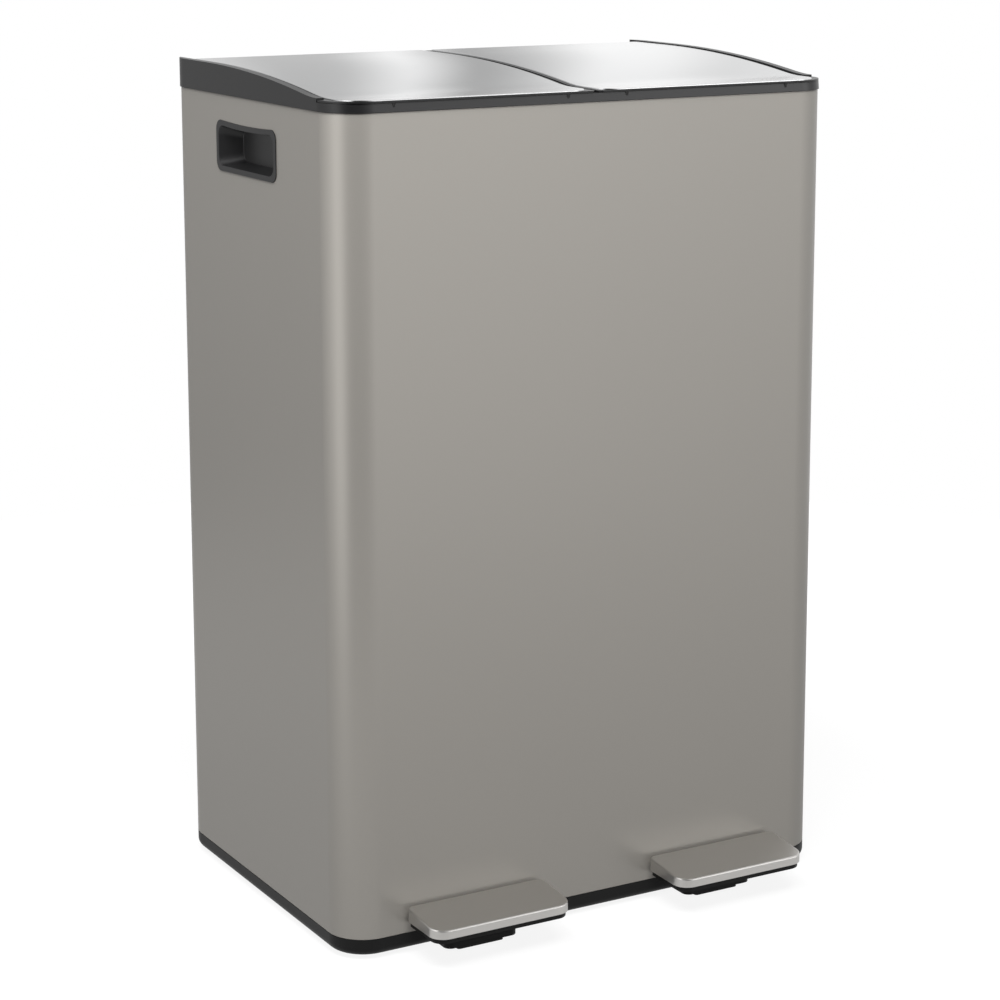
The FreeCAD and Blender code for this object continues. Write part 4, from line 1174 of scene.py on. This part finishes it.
@dataclass
class Studio:
    """Pale floor, white surround and soft lights."""

    floor_radius: float = 1.3
    floor_sides: int = 96
    floor_bounce: float = 0.12
    floor_glow: float = 0.89
    floor_mirrored: float = 0.62
    shadow_reach: float = 0.75
    ambient: float = 0.24
    lean: float = 0.125
    strip_level: float = 3.2
    strip_start: Point2 = (110.0, 135.0)
    strip_end: Point2 = (153.0, 145.0)
    strip_height: Point2 = (1.0, 8.0)
    strip_top: Point2 = (26.0, 18.0)

    def build(self) -> None:
        """Builds the floor, the surround and the lights."""
        self._floor()
        self._surround()
        for panel in PANELS:
            panel.build()

    def _floor(self) -> None:
        """Round pale floor that shows white to the camera, dimmer in reflections, and keeps the shadow."""
        mesh = bpy.data.meshes.new("floor")
        with reworked(mesh) as work:
            bmesh.ops.create_circle(work, cap_ends=True, radius=self.floor_radius, segments=self.floor_sides)
        made = bpy.data.materials.new("pale_floor")
        made.use_nodes = True
        made.node_tree.nodes.clear()
        bench = NodeBench(made.node_tree)
        path = bench.add("ShaderNodeLightPath").outputs
        mirrored = bench.math("MULTIPLY", path["Is Glossy Ray"], self.floor_mirrored)
        seen = bench.math("MAXIMUM", path["Is Camera Ray"], mirrored)
        matt = bench.add("ShaderNodeBsdfDiffuse", {"Color": (self.floor_bounce,) * 3 + (1.0,)})
        level = bench.math("MULTIPLY", seen, self._floor_level(bench))
        glow = bench.add("ShaderNodeEmission", {"Strength": level})
        shown = bench.add("ShaderNodeAddShader", {0: matt.outputs[0], 1: glow.outputs[0]})
        bench.add("ShaderNodeOutputMaterial", {"Surface": shown.outputs[0]})
        mesh.materials.append(made)
        in_scene("floor", mesh)

    def _floor_level(self, bench: NodeBench) -> Socket:
        """The floor's own level, which rises to white away from the object so that its edge doesn't show."""
        place = bench.add("ShaderNodeTexCoord").outputs["Object"]
        reach = bench.add("ShaderNodeVectorMath", {0: place}, operation="LENGTH").outputs["Value"]
        return self._rise(bench, reach, (self.shadow_reach / 2, self.shadow_reach), (self.floor_glow, 1.0))

    def _surround(self) -> None:
        """World that is white to the camera, has its own levels in reflections, and is plain elsewhere."""
        world = bpy.data.worlds.new("surround")
        bpy.context.scene.world = world
        world.use_nodes = True
        world.node_tree.nodes.clear()
        bench = NodeBench(world.node_tree)
        path = bench.add("ShaderNodeLightPath").outputs
        mirrored = bench.math("MAXIMUM", path["Is Glossy Ray"], path["Is Transmission Ray"])
        shown = bench.math("MULTIPLY", path["Is Camera Ray"], 1.0 - self.ambient)
        plain = bench.math("ADD", shown, self.ambient)
        change = bench.math("SUBTRACT", self._mirrored_level(bench), plain)
        strength = bench.math("ADD", bench.math("MULTIPLY", change, mirrored), plain)
        background = bench.add("ShaderNodeBackground", {"Color": (1.0, 1.0, 1.0, 1.0), "Strength": strength})
        bench.add("ShaderNodeOutputWorld", {"Surface": background.outputs[0]})

    def _mirrored_level(self, bench: NodeBench) -> Socket:
        """Level of the surround in reflections, read from the azimuth of the direction.

        Args:
            bench: the world's node bench.

        Returns:
            The socket that holds the level.
        """
        direction = bench.add("ShaderNodeTexCoord").outputs["Generated"]
        parts = bench.add("ShaderNodeSeparateXYZ", {0: direction}).outputs
        azimuth = bench.math("ARCTAN2", parts["X"], parts["Y"])
        height = bench.math("ARCSINE", parts["Z"])
        upright = bench.math("SUBTRACT", azimuth, bench.math("MULTIPLY", height, self.lean))
        share = bench.math("ADD", bench.math("MULTIPLY", upright, 0.5 / math.pi), 0.5)
        ramp = bench.add("ShaderNodeValToRGB", {"Fac": share})
        stops = ramp.color_ramp.elements
        stops.remove(stops[1])
        for index, (degrees, shade) in enumerate(SURROUND_LEVELS):
            place = degrees / 360.0 + 0.5
            stop = stops.new(place) if index else stops[0]
            stop.position = place
            stop.color = (shade / SURROUND_PEAK,) * 3 + (1.0,)
        level = bench.math("MULTIPLY", ramp.outputs["Color"], SURROUND_PEAK)
        strip = self.strip_level
        edges = (
            (height, self.strip_height), (height, self.strip_top),
            (azimuth, self.strip_end), (azimuth, self.strip_start),
        )
        for angle, (start, end) in edges:
            rise = self._rise(bench, angle, (math.radians(start), math.radians(end)))
            strip = bench.math("MULTIPLY", rise, strip)
        return bench.math("ADD", level, strip)

    @staticmethod
    def _rise(bench: NodeBench, value: Socket, ends: Point2, levels: Point2 = (0.0, 1.0)) -> Socket:
        """A smooth change between two levels while a value goes from one end to the other.

        Args:
            bench: the tree's bench.
            value: the value that decides.
            ends: the value at the first and at the last level.
            levels: the two levels.

        Returns:
            The level's socket.
        """
        span = {"From Min": ends[0], "From Max": ends[1], "To Min": levels[0], "To Max": levels[1]}
        rise = bench.add("ShaderNodeMapRange", {"Value": value, **span}, interpolation_type="SMOOTHSTEP")
        return rise.outputs["Result"]


@dataclass(frozen=True)
class ViewPoint:
    """The photograph's viewpoint, with a shift that is small enough for the other views."""

    place: Point3 = (-1.0402, -1.8394, 0.8099)
    pitch: float = 0.18397
    turn: float = -0.5223
    lens: float = 96.014
    sensor: float = 36.0
    shift: Point2 = (-0.0181, -0.14)

    def build(self) -> None:
        """Makes the scene's camera."""
        data = bpy.data.cameras.new("photo_camera")
        data.sensor_width = self.sensor
        data.lens = self.lens
        data.shift_x, data.shift_y = self.shift
        camera = in_scene("photo_camera", data)
        camera.location = self.place
        camera.rotation_euler = (math.pi / 2 - self.pitch, 0.0, self.turn)
        bpy.context.scene.camera = camera


def main() -> None:
    """Builds the scene in order."""
    logging.basicConfig(level=logging.INFO, format="%(name)s: %(message)s")
    bpy.context.scene.view_settings.view_transform = "Standard"
    ViewPoint().build()
    Studio().build()
    CarriedNodes().build()
    Casing().build()
    Mouldings().build()
    Lids().build()
    Pedals().build()
    Fasteners().build()


if __name__ == "__main__":
    main()
